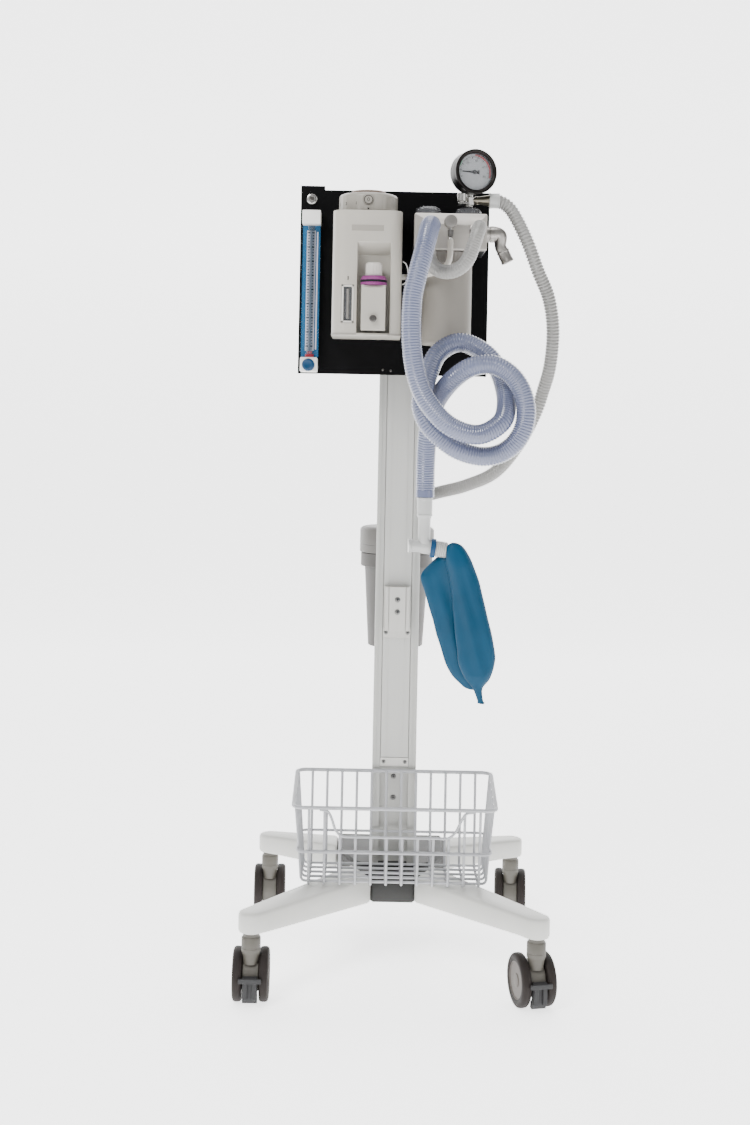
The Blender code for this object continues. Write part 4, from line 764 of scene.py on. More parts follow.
# ---- flowmeter ----
def add_flowmeter():
    lo, hi = low("flowmeter_body"), high("flowmeter_body")
    x, cap_z = (lo.x + hi.x) / 2, 1.1118
    bore_y = middle("flowmeter_float").y
    body = refine("flowmeter_body", 0.0006)
    settle(body, FRAME, FLOW_TINT, ["flowmeter_body"])
    cap = box("flowmeter_cap", (lo.x - 0.0002, lo.y - 0.0003, cap_z), (hi.x + 0.0002, hi.y, hi.z + 0.0002),
              0.0012)
    settle(cap, FRAME, WHITE_PLASTIC)
    back = box("flowmeter_back_plate", (lo.x + 0.0006, bore_y + 0.0058, lo.z + 0.0006),
               (hi.x - 0.0006, bore_y + 0.0070, cap_z - 0.0006))
    settle(back, FRAME, material("flowmeter_back_blue", srgb(30, 84, 122), 0.4, vary=0.06, bump=0.05,
                                   specular=0.2))
    strip = box("flowmeter_scale_strip", (x - 0.0070, bore_y + 0.0046, lo.z + 0.010),
                (x + 0.0060, bore_y + 0.0054, cap_z - 0.008))
    settle(strip, FRAME, SCALE_AND_HIGHLIGHT_WHITE)
    bm = bmesh.new()
    for k in range(41):
        z = lo.z + 0.016 + k * 0.0042
        for side, long in ((-1, 0.0042 if k % 5 == 0 else 0.0026), (1, 0.0034 if k % 5 == 0 else 0.0020)):
            tick = bmesh.ops.create_cube(bm, size=1.0)["verts"]
            bmesh.ops.scale(bm, vec=(long, 0.0003, 0.0016 if k % 5 == 0 else 0.0011), verts=tick)
            bmesh.ops.translate(bm, vec=(x + side * 0.0034, lo.y - 0.0001, z), verts=tick)
    settle(from_bmesh("flowmeter_ticks", bm), FRAME, PRINT_DARK)
    # A pale strip down the right of the body: a painted highlight.
    glint = box("flowmeter_painted_highlight", (x + 0.0078, bore_y + 0.0040, lo.z + 0.012),
                (x + 0.0098, bore_y + 0.0054, cap_z - 0.010))
    settle(glint, FRAME, SCALE_AND_HIGHLIGHT_WHITE)
    tube = lathe("flowmeter_glass_tube",
                 [(0.0046, lo.z + 0.001), (0.0058, lo.z + 0.001), (0.0058, cap_z - 0.001),
                                          (0.0046, cap_z - 0.001)], (x, bore_y, 0), (0, 0, 1), 40)
    settle(tube, FRAME, FLOW_GLASS)
    seat = lathe("flowmeter_seat_ring", [(0.0047, 0), (0.0066, 0), (0.0066, 0.004), (0.0047, 0.004)],
                 (x, bore_y, lo.z + 0.0004), (0, 0, 1), 40)
    settle(seat, FRAME, FLOAT_RED)
    top = low("flowmeter_float").z
    bobbin = lathe("flow_bobbin", [(0, 0), (0.0016, 0), (0.0030, 0.0008), (0.0040, 0.0050), (0.0043, 0.0058),
                                   (0.0043, 0.0082), (0.0038, 0.0085), (0, 0.0085)], (x, bore_y, top),
                   (0, 0, 1), 32)
    settle(bobbin, "float", FLOAT_RED, ["flowmeter_float"])
    settle(refine("flowmeter_base", 0.0006), FRAME, WHITE_PLASTIC, ["flowmeter_base"])
    lo, hi = low("flowmeter_knob"), high("flowmeter_knob")
    at = ((lo.x + hi.x) / 2, hi.y, (lo.z + hi.z) / 2)
    ripple = knurl(20, 0.07, 0.0072, 0.0210)
    knob = lathe("needle_valve_knob", [
        (0, 0), (0.0055, 0), (0.0055, 0.0058), (0.0088, 0.0062), (0.0092, 0.0070), (0.0092, 0.0074),
        (0.0092, 0.0205),
        (0.0092, 0.0214), (0.0086, 0.0226), (0.0062, 0.0232), (0.0052, 0.0228), (0, 0.0226)], at, (0, -1, 0),
                 160,
        ripple)
    settle(knob, "flow_knob", KNOB_BLUE, ["flowmeter_knob"])


add_flowmeter()


# ---- vaporizer ----
def add_vaporizer():
    lo, hi = low("vaporizer_body"), high("vaporizer_body")
    body = refine("vaporizer_body", 0.0016, 3)
    settle(body, FRAME, ENAMEL, ["vaporizer_body"])
    outline, radius, proud = [], 0.020, 0.0003
    for k in range(9):
        a = math.radians(180 + 90 * k / 8)
        outline.append((lo.x + radius + (radius + proud) * math.cos(a),
                        lo.y + radius + (radius + proud) * math.sin(a)))
    mid_x = (lo.x + hi.x) / 2
    recess0 = low("filler_block").x - 0.0063
    outline = [(lo.x - proud, hi.y)] + outline + [(recess0, lo.y - proud), (recess0, lo.y + 0.002),
                                                   (lo.x + 0.004, lo.y + 0.024), (lo.x + 0.002, hi.y)]
    for mark in ("left", "right"):
        if mark == "right":
            recess1 = high("filler_block").x + 0.0063
            outline = [(2 * mid_x - px, py) for px, py in outline]
            outline = [(recess1 if abs(px - (2 * mid_x - recess0)) < 1e-6 else px, py) for px, py in outline]
        band = prism("vaporizer_base_band_" + mark, outline, lo.z + 0.0004, lo.z + 0.0034)
        settle(band, FRAME, ENAMEL_DARK)
    # The dial's scale: short ticks on the body's front edge.
    bm = bmesh.new()
    for k in range(7):
        a = math.radians(222 + 13 * k)
        radial = Vector((math.cos(a), math.sin(a), 0))
        at = Vector((mid_x, middle("vaporizer_dial").y, hi.z)) + radial * 0.0468
        tick = bmesh.ops.create_cube(bm, size=1.0)["verts"]
        bmesh.ops.scale(bm, vec=(0.0036, 0.0007, 0.0003), verts=tick)
        bmesh.ops.rotate(bm, matrix=Matrix.Rotation(a, 3, "Z"), verts=tick)
        bmesh.ops.translate(bm, vec=at, verts=tick)
    settle(from_bmesh("vaporizer_scale_ticks", bm), FRAME, PRINT_DARK)
    front = lo.y
    plate = box("vaporizer_name_plate", (-0.0790, front - 0.0004, 1.0925), (-0.0330, front + 0.001, 1.1010),
                0.0003)
    settle(plate, FRAME, ENAMEL_DIAL)
    arrow = prism("sight_level_mark",
                  [(-0.0836, 1.0275), (-0.0822, 1.0275), (-0.0822, 1.0225), (-0.0829, 1.0210),
                                       (-0.0836, 1.0225)], front - 0.0003, front + 0.0004, "Y")
    settle(arrow, FRAME, PRINT_DARK)


def add_dial():
    lo, hi = low("vaporizer_dial"), high("vaporizer_dial")
    x, y = (lo.x + hi.x) / 2, middle("vaporizer_dial").y
    button = middle("zero_lock_button")
    tall = 0.0290

    def flute(a, h):
        wave = 0.5 + 0.5 * math.cos(30 * a)
        return 1 - 0.010 * wave ** 3 if 0.004 <= h <= tall - 0.0065 else 1.0

    dial = lathe("fluted_dial", [
        (0, 0), (0.0412, 0), (0.0420, 0.0006), (0.0430, 0.0030), (0.0430, 0.0042), (0.0430, 0.0220),
        (0.0430, 0.0228),
        (0.0424, 0.0250), (0.0408, 0.0268), (0.0385, 0.0278), (0.0262, tall), (0.0262, tall - 0.0010),
        (0, tall - 0.0010)], (x, y, lo.z), (0, 0, 1), 240, flute)
    cutter = lathe("button_bore", [(0, 0), (0.0076, 0), (0.0076, 0.030), (0, 0.030)],
                   (x, y - 0.0430 - 0.010, button.z), (0, 1, 0), 48)
    mod = dial.modifiers.new("Bore", "BOOLEAN")
    mod.operation, mod.solver, mod.object = "DIFFERENCE", "EXACT", cutter
    apply(dial)
    bpy.data.objects.remove(cutter)
    dial.data.shade_smooth()
    dial.data.set_sharp_from_angle(angle=math.radians(32))
    settle(dial, "dial", ENAMEL_DIAL, ["vaporizer_dial"])
    cap = lathe("dial_top_disc",
                [(0, tall - 0.0009), (0.0255, tall - 0.0009), (0.0255, 0.0318), (0.0246, 0.0332),
                                  (0.0180, 0.0335), (0, 0.0335)], (x, y, lo.z), (0, 0, 1), 96)
    settle(cap, "dial", DISC_BROWN)
    front = low("zero_lock_button").y
    at = (x, front + 0.0087, button.z)
    key = lathe("lock_button_key", [(0, 0), (0.0072, 0), (0.0072, 0.0078), (0.0066, 0.0086), (0.0060, 0.0086),
                                    (0.0052, 0.0077), (0, 0.0074)], at, (0, -1, 0), 56)
    settle(key, "lock_button", ENAMEL_DIAL, ["zero_lock_button"])
    rim = lathe("lock_button_rim", [(0.0056, 0.0084), (0.0064, 0.0084), (0.0064, 0.0090), (0.0056, 0.0090)],
                at,
                (0, -1, 0), 56)
    settle(rim, "lock_button", PRINT_DARK)
    text("lock_button_zero", "0", 0.0078, (x, front + 0.0012, button.z), FACE_FRONT, "lock_button",
         PRINT_DARK)
    outline = [(x - 0.0016, lo.z + 0.0045), (x + 0.0016, lo.z + 0.0045), (x, lo.z + 0.0020)]
    pointer = prism("dial_pointer", outline, y - 0.0434, y - 0.0424, "Y")
    settle(pointer, "dial", PRINT_DARK)
    for k, number in enumerate(("1", "2", "3", "4", "5")):
        a = math.radians(-90 - 24 * (k + 1))
        at = Vector((x, y, lo.z + 0.0115)) + Vector((math.cos(a), math.sin(a), 0)) * 0.0430
        turn = Matrix.Rotation(a + math.radians(90), 4, "Z") @ FACE_FRONT
        text("dial_number_" + number, number, 0.0062, at, turn, "dial", PRINT_DARK, 0.0002)


def add_filler():
    settle(refine("filler_block", 0.0009, 3), FRAME, ENAMEL, ["filler_block"])
    lo, hi = low("filler_collar"), high("filler_collar")
    at = ((lo.x + hi.x) / 2, (lo.y + hi.y) / 2, lo.z)
    ripple = knurl(28, 0.035, 0.0012, 0.0078)
    collar = lathe("purple_collar", [
        (0.0103, 0), (0.0183, 0), (0.0188, 0.0008), (0.0188, 0.0014), (0.0188, 0.0076), (0.0188, 0.0084),
        (0.0182, 0.0092), (0.0164, 0.0126), (0.0156, 0.0130), (0.0103, 0.0130)], at, (0, 0, 1), 168, ripple)
    settle(collar, "filler_ring", PURPLE, ["filler_collar"])
    band = lathe("purple_collar_band",
                 [(0.0180, 0.0038), (0.0191, 0.0040), (0.0191, 0.0070), (0.0180, 0.0072)], at,
                 (0, 0, 1), 96)
    settle(band, "filler_ring", PRINT_DARK)
    low_z = low("filler_plug").z
    ripple = knurl(16, 0.05, 0.0140, 0.0262)
    plug = lathe("filler_cap", [
        (0, 0), (0.0097, 0), (0.0097, 0.0108), (0.0118, 0.0112), (0.0121, 0.0120), (0.0121, 0.0138),
        (0.0121, 0.0142),
        (0.0121, 0.0258), (0.0121, 0.0266), (0.0112, 0.0290), (0.0092, 0.0303), (0, 0.0308)],
        (at[0], at[1], low_z), (0, 0, 1), 128, ripple)
    settle(plug, "filler_cap", CAP_MILK, ["filler_plug"])
    lo, hi = low("sight_glass"), high("sight_glass")
    frame_w = 0.0028
    outer = [(lo.x, lo.z), (hi.x, lo.z), (hi.x, hi.z), (lo.x, hi.z)]
    # The black back behind the window: painted shade for the dark inside seen through it.
    back = box("sight_back", (lo.x, hi.y - 0.0012, lo.z), (hi.x, hi.y, hi.z))
    settle(back, FRAME, RECESS_SHADE_BLACK, ["sight_glass"])
    for k in range(4):
        (xa, za), (xb, zb) = outer[k], outer[(k + 1) % 4]
        x0, x1, z0, z1 = min(xa, xb), max(xa, xb), min(za, zb), max(za, zb)
        if x0 == x1:
            x0, x1 = (x0 - frame_w, x1) if x0 == hi.x else (x0, x1 + frame_w)
        else:
            z0, z1 = (z0 - frame_w, z1) if z0 == hi.z else (z0, z1 + frame_w)
        bar = box("sight_frame_%d" % k, (x0, lo.y, z0), (x1, hi.y - 0.0012, z1), 0.0003)
        settle(bar, FRAME, SIGHT_FRAME)
    glass = box("sight_window", (lo.x + frame_w, lo.y + 0.0012, lo.z + frame_w),
                (hi.x - frame_w, lo.y + 0.0022, hi.z - frame_w))
    settle(glass, FRAME, GAUGE_GLASS)
    ball = lathe("sight_tube", [(0, 0), (0.0022, 0), (0.0022, hi.z - lo.z - 0.012), (0, hi.z - lo.z - 0.012)],
                 ((lo.x + hi.x) / 2, hi.y - 0.0017, lo.z + 0.006), (0, 0, 1), 32)
    settle(ball, FRAME, SATIN)
    lo, hi = low("drain_screw"), high("drain_screw")
    at = ((lo.x + hi.x) / 2, hi.y, (lo.z + hi.z) / 2)
    screw = lathe("drain_knob", [
        (0, 0), (0.0036, 0), (0.0036, 0.0020), (0.0049, 0.0023), (0.0052, 0.0027), (0.0052, 0.0060),
        (0.0046, 0.0068),
        (0.0030, 0.0070), (0.0026, 0.0058), (0, 0.0058)], at, (0, -1, 0), 96, knurl(18, 0.06, 0.0028, 0.0058))
    settle(screw, "drain", DARK_STEEL, ["drain_screw"])
    lo, hi = low("retaining_loop"), high("retaining_loop")
    mid_z, tall = (lo.z + hi.z) / 2, (hi.z - lo.z) / 2 - 0.0008
    points = [(lo.x + 0.0010 + 0.0080 * math.sin(math.pi * k / 20), (lo.y + hi.y) / 2,
               mid_z + tall * math.cos(math.pi * k / 20)) for k in range(21)]
    settle(wires("white_loop", [(points, False)], 0.0016, 3), FRAME, WHITE_PLASTIC,
           ["retaining_loop"])


add_vaporizer()
add_dial()
add_filler()


# ---- valve manifold, absorber canister and outlet ----
def add_manifold():
    block = refine("manifold_block", 0.0)
    bm = bmesh.new()
    bm.from_mesh(block.data)
    seam = low("fresh_gas_connector").y + 0.018 + MANIFOLD_FACE
    bmesh.ops.bisect_plane(bm, geom=bm.verts[:] + bm.edges[:] + bm.faces[:], plane_co=(0, seam, 0),
                           plane_no=(0, 1, 0), dist=1e-6)
    bm.to_mesh(block.data)
    bm.free()
    settle(block, FRAME, MANIFOLD_ALU, ["manifold_block"])
    # The block behind the front plate is black: painted shade under and behind the plate.
    block.data.materials.append(REAR_BLACK_AND_SHADE)
    for face in block.data.polygons:
        face.material_index = int(face.center.y > seam)
    top = high("manifold_block").z
    for mark in ("left", "right"):
        node = "valve_dome_" + mark
        x, y, z = middle(node).x, middle(node).y, low(node).z

        def facet(a, h):
            step = math.pi / 6
            within = (a % step) - step / 2
            return math.cos(step / 2) / math.cos(within) * 1.01 if 0.0035 < h < 0.0125 else 1.0

        outer = [(0.0205, 0), (0.0205, 0.0024), (0.0200, 0.0032), (0.0194, 0.0040), (0.0190, 0.0086),
                 (0.0172, 0.0120), (0.0120, 0.0148), (0.0060, 0.0158), (0, 0.0160)]
        inner = [(0, 0.0146), (0.0058, 0.0144), (0.0114, 0.0134), (0.0160, 0.0110), (0.0176, 0.0080),
                 (0.0176, 0)]
        dome = lathe("clear_dome_" + mark, outer + inner, (x, y, z), (0, 0, 1), 96, facet, 20)
        settle(dome, FRAME, CLEAR, [node])
        ring = lathe("dome_clamp_ring_" + mark, [
            (0.0172, 0.0), (0.0206, 0.0), (0.0206, 0.0030), (0.0198, 0.0036), (0.0172, 0.0036)], (x, y, z),
            (0, 0, 1), 72)
        settle(ring, FRAME, VALVE_DARK)
        well = lathe("valve_well_" + mark, [(0.0150, 0), (0.0163, 0), (0.0163, 0.0098), (0.0150, 0.0098)],
                     (x, y, top - 0.0096), (0, 0, 1), 48)
        settle(well, FRAME, VALVE_DARK)
        bm = bmesh.new()
        for k in range(4):
            a = math.pi / 4 + math.pi / 2 * k
            post = bmesh.ops.create_cube(bm, size=1.0)["verts"]
            bmesh.ops.scale(bm, vec=(0.0012, 0.0022, 0.0100), verts=post)
            bmesh.ops.rotate(bm, matrix=Matrix.Rotation(a, 3, "Z"), verts=post)
            bmesh.ops.translate(bm, vec=(x + 0.0155 * math.cos(a), y + 0.0155 * math.sin(a), top + 0.0050),
                                verts=post)
        settle(from_bmesh("valve_cage_" + mark, bm), FRAME, VALVE_DARK)
        node = "valve_disc_" + mark
        disc = lathe("valve_plate_" + mark,
                     [(0, 0), (0.0135, 0), (0.0140, 0.0003), (0.0140, 0.0011), (0.0135, 0.0014),
                                             (0, 0.0014)], (x, y, low(node).z), (0, 0, 1), 56)
        settle(disc, "valve_" + mark, VALVE_DISC, [node])
    lo, hi = low("fresh_gas_connector"), high("fresh_gas_connector")
    at = ((lo.x + hi.x) / 2, hi.y, 1.1080)
    knob = lathe("gas_connector_head", [
        (0, 0), (0.0062, 0), (0.0062, 0.0020), (0.0092, 0.0024), (0.0093, 0.0160), (0.0088, 0.0172),
        (0.0040, 0.0178),
        (0.0012, 0.0176), (0, 0.0176)], at, (0, -1, 0), 56)
    settle(knob, FRAME, SATIN, ["fresh_gas_connector"])
    drop = lathe("gas_connector_stem", [
        (0, 0), (0.0036, 0), (0.0040, 0.0008), (0.0036, 0.0030), (0.0024, 0.0042), (0.0024, 0.0230),
        (0, 0.0230)],
        (at[0], FRESH_Y, lo.z), (0, 0, 1), 40)
    settle(drop, FRAME, STEEL)
    cuff = lathe("gas_connector_sleeve", [(0.0026, 0), (0.0040, 0.0004), (0.0043, 0.0092), (0.0026, 0.0096)],
                 (at[0], FRESH_Y, lo.z + 0.0042), (0, 0, 1), 40)
    settle(cuff, FRAME, HOLDER_DARK)


def add_canister():
    lo, hi = low("absorber_canister"), high("absorber_canister")
    r, tall = (hi.x - lo.x) / 2 - 0.0018, hi.z - lo.z
    at = (middle("absorber_canister").x, middle("absorber_canister").y, lo.z)
    shell = lathe("canister_shell", [
        (0, 0.0015), (r - 0.008, 0.0015), (r - 0.007, 0), (r - 0.003, 0), (r - 0.0008, 0.0008), (r, 0.0030),
        (r, 0.0050), (r - 0.0004, 0.0053), (r - 0.0004, 0.0059), (r, 0.0062), (r, 0.1140),
        (r - 0.0004, 0.1143),
        (r - 0.0004, 0.1150), (r, 0.1153), (r, 0.1180), (0, 0.1180)], at, (0, 0, 1), 96)
    settle(shell, "canister", CANISTER, ["absorber_canister"])
    # The collar takes the darker grey: painted shade under the manifold.
    ring = lathe("canister_collar", [
        (0.0300, 0.1182), (r + 0.0012, 0.1182), (r + 0.0018, 0.1190), (r + 0.0018, 0.1200),
        (r + 0.0018, tall - 0.0018),
        (r + 0.0018, tall - 0.0010), (r + 0.0010, tall), (0.0300, tall)], at, (0, 0, 1), 180,
        knurl(45, 0.02, 0.1195, tall - 0.0015))
    settle(ring, "canister", CANISTER_COLLAR_SHADE)


def add_elbow():
    lo = low("outlet_elbow")
    y, z = middle("outlet_elbow").y, 1.0963
    barrel = lathe("outlet_barrel", [
        (0, 0), (0.0112, 0), (0.0118, 0.0008), (0.0118, 0.0050), (0.0110, 0.0056), (0.0110, 0.0066),
        (0.0120, 0.0072),
        (0.0120, 0.0128), (0.0114, 0.0136), (0, 0.0136)], (lo.x, y, z), (1, 0, 0), 64)
    settle(barrel, "elbow", SATIN, ["outlet_elbow"])
    start, end = Vector((0.1310, y, z - 0.004)), Vector((0.1475, y, 1.0590))
    along = (end - start).normalized()
    tall = (end - start).length
    bend = route([(lo.x + 0.0120, y, z), (lo.x + 0.0150, y, z), (0.1368, y, z - 0.0030),
                  start + along * 0.0150,
                  start + along * 0.0230, start + along * tall], 0.0012)
    elbow = swept("outlet_bend", bend, lambda gone: 0.0114 - 0.0031 * smooth_step(gone / 0.026), 56)
    settle(elbow, "elbow", SATIN)
    tip = lathe("outlet_tip", [
        (0.0070, tall - 0.0150), (0.0090, tall - 0.0150), (0.0094, tall - 0.0142), (0.0094, tall - 0.0126),
        (0.0089, tall - 0.0120), (0.0089, tall - 0.0004), (0.0094, tall + 0.0004), (0.0094, tall + 0.0030),
        (0.0088, tall + 0.0036), (0.0070, tall + 0.0036)], start, along, 56)
    settle(tip, "elbow", SATIN)
    # A black disc in the outlet's mouth: painted shade inside the tube.
    hole = lathe("outlet_mouth_shade", [(0, tall), (0.0071, tall), (0.0071, tall + 0.0010), (0, tall + 0.0010)],
                 start, along,
                 40)
    settle(hole, "elbow", RECESS_SHADE_BLACK)


add_manifold()
add_canister()
add_elbow()

# ---- pressure gauge, tee and relief valve ----
GAUGE_TURN = math.radians(20)
FACING = Vector((math.sin(GAUGE_TURN), -math.cos(GAUGE_TURN), 0))
GAUGE_AT, GAUGE_R, GAUGE_D = Vector((0.0955, -0.1180, 1.1860)), 0.0325, 0.0280
GAUGE_BACK = GAUGE_AT - FACING * GAUGE_D / 2
DIAL_FACE = GAUGE_BACK + FACING * (GAUGE_D - 0.0090)
RIGHT_WAY, UP_WAY = Vector((math.cos(GAUGE_TURN), math.sin(GAUGE_TURN), 0)), Vector((0, 0, 1))


def on_dial(angle, radius, lift):
    """A point on the gauge's dial: the angle is clockwise from the top, as seen from the front."""
    a = math.radians(angle)
    return DIAL_FACE + RIGHT_WAY * radius * math.sin(a) + UP_WAY * radius * math.cos(a) + FACING * lift


def dial_sector(name, start, end, inner, outer, finish, lift=0.0001, thick=0.0002):
    """A band printed on the dial, from one angle to another."""
    bm = bmesh.new()
    count = max(1, round(abs(end - start) / 6))
    rows = []
    for k in range(count + 1):
        a = start + (end - start) * k / count
        rows.append([bm.verts.new(on_dial(a, r, h)) for r, h in
                     ((inner, lift), (outer, lift), (outer, lift + thick), (inner, lift + thick))])
    for near, far in zip(rows, rows[1:]):
        for k in range(4):
            m = (k + 1) % 4
            bm.faces.new((near[k], near[m], far[m], far[k]))
    bm.faces.new(rows[0])
    bm.faces.new(rows[-1])
    return settle(from_bmesh(name, bm), FRAME, finish)


def add_gauge():
    r, deep = GAUGE_R, GAUGE_D
    case = lathe("gauge_housing", [
        (0, 0), (r - 0.0045, 0), (r - 0.0022, 0.0010), (r - 0.0010, 0.0032), (r - 0.0010, deep - 0.0072),
        (r - 0.0004, deep - 0.0066), (r, deep - 0.0058), (r, deep - 0.0012), (r - 0.0008, deep - 0.0002),
        (r - 0.0018, deep), (r - 0.0032, deep - 0.0004), (r - 0.0054, deep - 0.0018),
        (r - 0.0060, deep - 0.0030),
        (r - 0.0060, deep - 0.0092), (0, deep - 0.0092)], GAUGE_BACK, FACING, 112)
    settle(case, FRAME, GAUGE_BEZEL, ["gauge_case"])
    face = lathe("gauge_dial_face",
                 [(0, -0.0002), (r - 0.0062, -0.0002), (r - 0.0062, 0.00005), (0, 0.00005)],
                 DIAL_FACE, FACING, 96)
    settle(face, FRAME, GAUGE_FACE)
    bm = bmesh.new()
    for k in range(45):
        angle = -110 + 5 * k
        long = 0.0040 if k % 5 == 0 else 0.0022
        mid = on_dial(angle, 0.0234 - long / 2, 0.00012)
        a = math.radians(angle)
        out = RIGHT_WAY * math.sin(a) + UP_WAY * math.cos(a)
        side = RIGHT_WAY * math.cos(a) - UP_WAY * math.sin(a)
        tick = bmesh.ops.create_cube(bm, size=1.0)["verts"]
        wide = 0.0009 if k % 5 == 0 else 0.0004
        shape = Matrix((out * long, side * wide, FACING * 0.0002)).transposed().to_4x4()
        bmesh.ops.transform(bm, matrix=Matrix.Translation(mid) @ shape, verts=tick)
    settle(from_bmesh("gauge_ticks", bm), FRAME, PRINT_DARK)
    dial_sector("gauge_red_band", 2, 108, 0.0236, 0.0260, MARK_RED)
    dial_sector("gauge_green_mark", -72, -52, 0.0238, 0.0258, MARK_GREEN)
    turn = Matrix((RIGHT_WAY, UP_WAY, FACING)).transposed().to_4x4()
    for number, angle in (("0", -90), ("20", -40), ("40", 10), ("60", 60), ("80", 110)):
        text("gauge_number_" + number, number, 0.0046, on_dial(angle, 0.0168, 0.0001), turn, FRAME,
             PRINT_DARK,
             0.0001)
    lens = lathe("gauge_lens_glass",
                 [(0, 0), (r - 0.0061, 0), (r - 0.0061, 0.0008), (r * 0.5, 0.0012), (0, 0.0013)],
                 GAUGE_BACK + FACING * (deep - 0.0035), FACING, 96)
    settle(lens, FRAME, GAUGE_GLASS, ["gauge_lens"])
    shape = [(-0.0205, 0.0005), (-0.0205, -0.0005), (-0.0030, -0.0016), (0.0028, -0.0019), (0.0078, -0.0032),
             (0.0078, 0.0032), (0.0028, 0.0019), (-0.0030, 0.0016)]
    bm = bmesh.new()
    rows = [[bm.verts.new(DIAL_FACE + RIGHT_WAY * a + UP_WAY * b + FACING * h) for a, b in shape]
            for h in (0.0005, 0.0011)]
    bm.faces.new(rows[0])
    bm.faces.new(rows[1])
    for k in range(len(shape)):
        m = (k + 1) % len(shape)
        bm.faces.new((rows[0][k], rows[0][m], rows[1][m], rows[1][k]))
    settle(from_bmesh("gauge_pointer", bm), "needle", NEEDLE, ["gauge_needle"])
    hub = lathe("gauge_pointer_hub",
                [(0, 0.0004), (0.0034, 0.0004), (0.0034, 0.0014), (0.0022, 0.0018), (0, 0.0018)],
                DIAL_FACE, FACING, 32)
    settle(hub, "needle", NEEDLE)


def add_tee():
    """The relief valve's tee over the right dome: stem, hex body, shelf, cone, cuff and knob."""
    lo, hi = low("relief_tee"), high("relief_tee")
    x = middle("valve_dome_right").x
    stem = lathe("tee_stem", [
        (0, lo.z), (0.0060, lo.z), (0.0060, 1.1385), (0.0050, 1.1390), (0.0050, 1.1515), (0.0060, 1.1520),
        (0.0060, hi.z - 0.0012), (0.0066, hi.z - 0.0010), (0.0066, hi.z - 0.0002), (0, hi.z - 0.0002)],
        (x, TEE_Y, 0), (0, 0, 1), 48)
    settle(stem, FRAME, STEEL, ["relief_tee"])
    body = lathe("tee_hex_body",
                 [(0, 1.1394), (0.0078, 1.1394), (0.0085, 1.1402), (0.0085, 1.1508), (0.0078, 1.1516),
                                  (0, 1.1516)], (x, TEE_Y, 0), (0, 0, 1), 6, smooth_angle=20)
    settle(body, FRAME, STEEL)
    cone = lathe("tee_cone", [
        (0, 0), (0.0050, 0), (0.0050, 0.0090), (0.0062, 0.0094), (0.0062, 0.0130), (0.0056, 0.0134),
        (0.0060, 0.0170),
        (0.0082, 0.0290), (0.0086, 0.0296), (0.0086, 0.0302), (0, 0.0302)], (x, TEE_Y, TEE_Z), (1, 0, 0), 56)
    settle(cone, FRAME, BRASS)
    shelf = box("tee_shelf", (lo.x, lo.y, 1.1390), (x, TEE_Y + 0.003, 1.1412), 0.0005)
    settle(shelf, FRAME, STEEL)
    cuff = lathe("scavenging_cuff", [
        (0.0090, 0.1209), (0.0112, 0.1209), (0.0116, 0.1215), (0.0116, 0.1228), (0.0110, 0.1232),
        (0.0110, 0.1338),
        (0.0114, 0.1342), (0.0114, 0.1354), (0.0108, 0.1360), (0.0096, 0.1360)], (0, TEE_Y, TEE_Z), (1, 0, 0),
                 64)
    settle(cuff, FRAME, CUFF_WHITE)
    lo, hi = low("relief_valve_knob"), high("relief_valve_knob")
    at = ((lo.x + hi.x) / 2, (lo.y + hi.y) / 2, lo.z)
    knob = lathe("relief_knob", [
        (0, 0), (0.0060, 0), (0.0062, 0.0006), (0.0073, 0.0020), (0.0073, 0.0024), (0.0073, 0.0118),
        (0.0073, 0.0124),
        (0.0066, 0.0133), (0, 0.0135)], at, (0, 0, 1), 120, knurl(24, 0.05, 0.0026, 0.0116))
    settle(knob, "relief_knob", STEEL, ["relief_valve_knob"])


add_gauge()
add_tee()


# ---- port cuffs, patient connector and bag ----
def add_cuffs():
    left = lathe("left_port_cuff", [
        (0.0114, 0), (0.0134, 0), (0.0138, 0.0010), (0.0138, 0.0160), (0.0132, 0.0168), (0.0114, 0.0168)],
        (PORT_X, HEAD_Y + 0.0160, PORT_Z), (0, -1, 0), 56)
    settle(left, FRAME, HOSE_BLUE)
    ring = lathe("right_port_ring", [
        (0.0099, 0), (0.0112, 0), (0.0116, 0.0008), (0.0116, 0.0036), (0.0099, 0.0042)],
        (SUPPLY_X, high("manifold_block").y - 0.1110, PORT_Z), (0, -1, 0), 56)
    settle(ring, FRAME, DARK_STEEL)


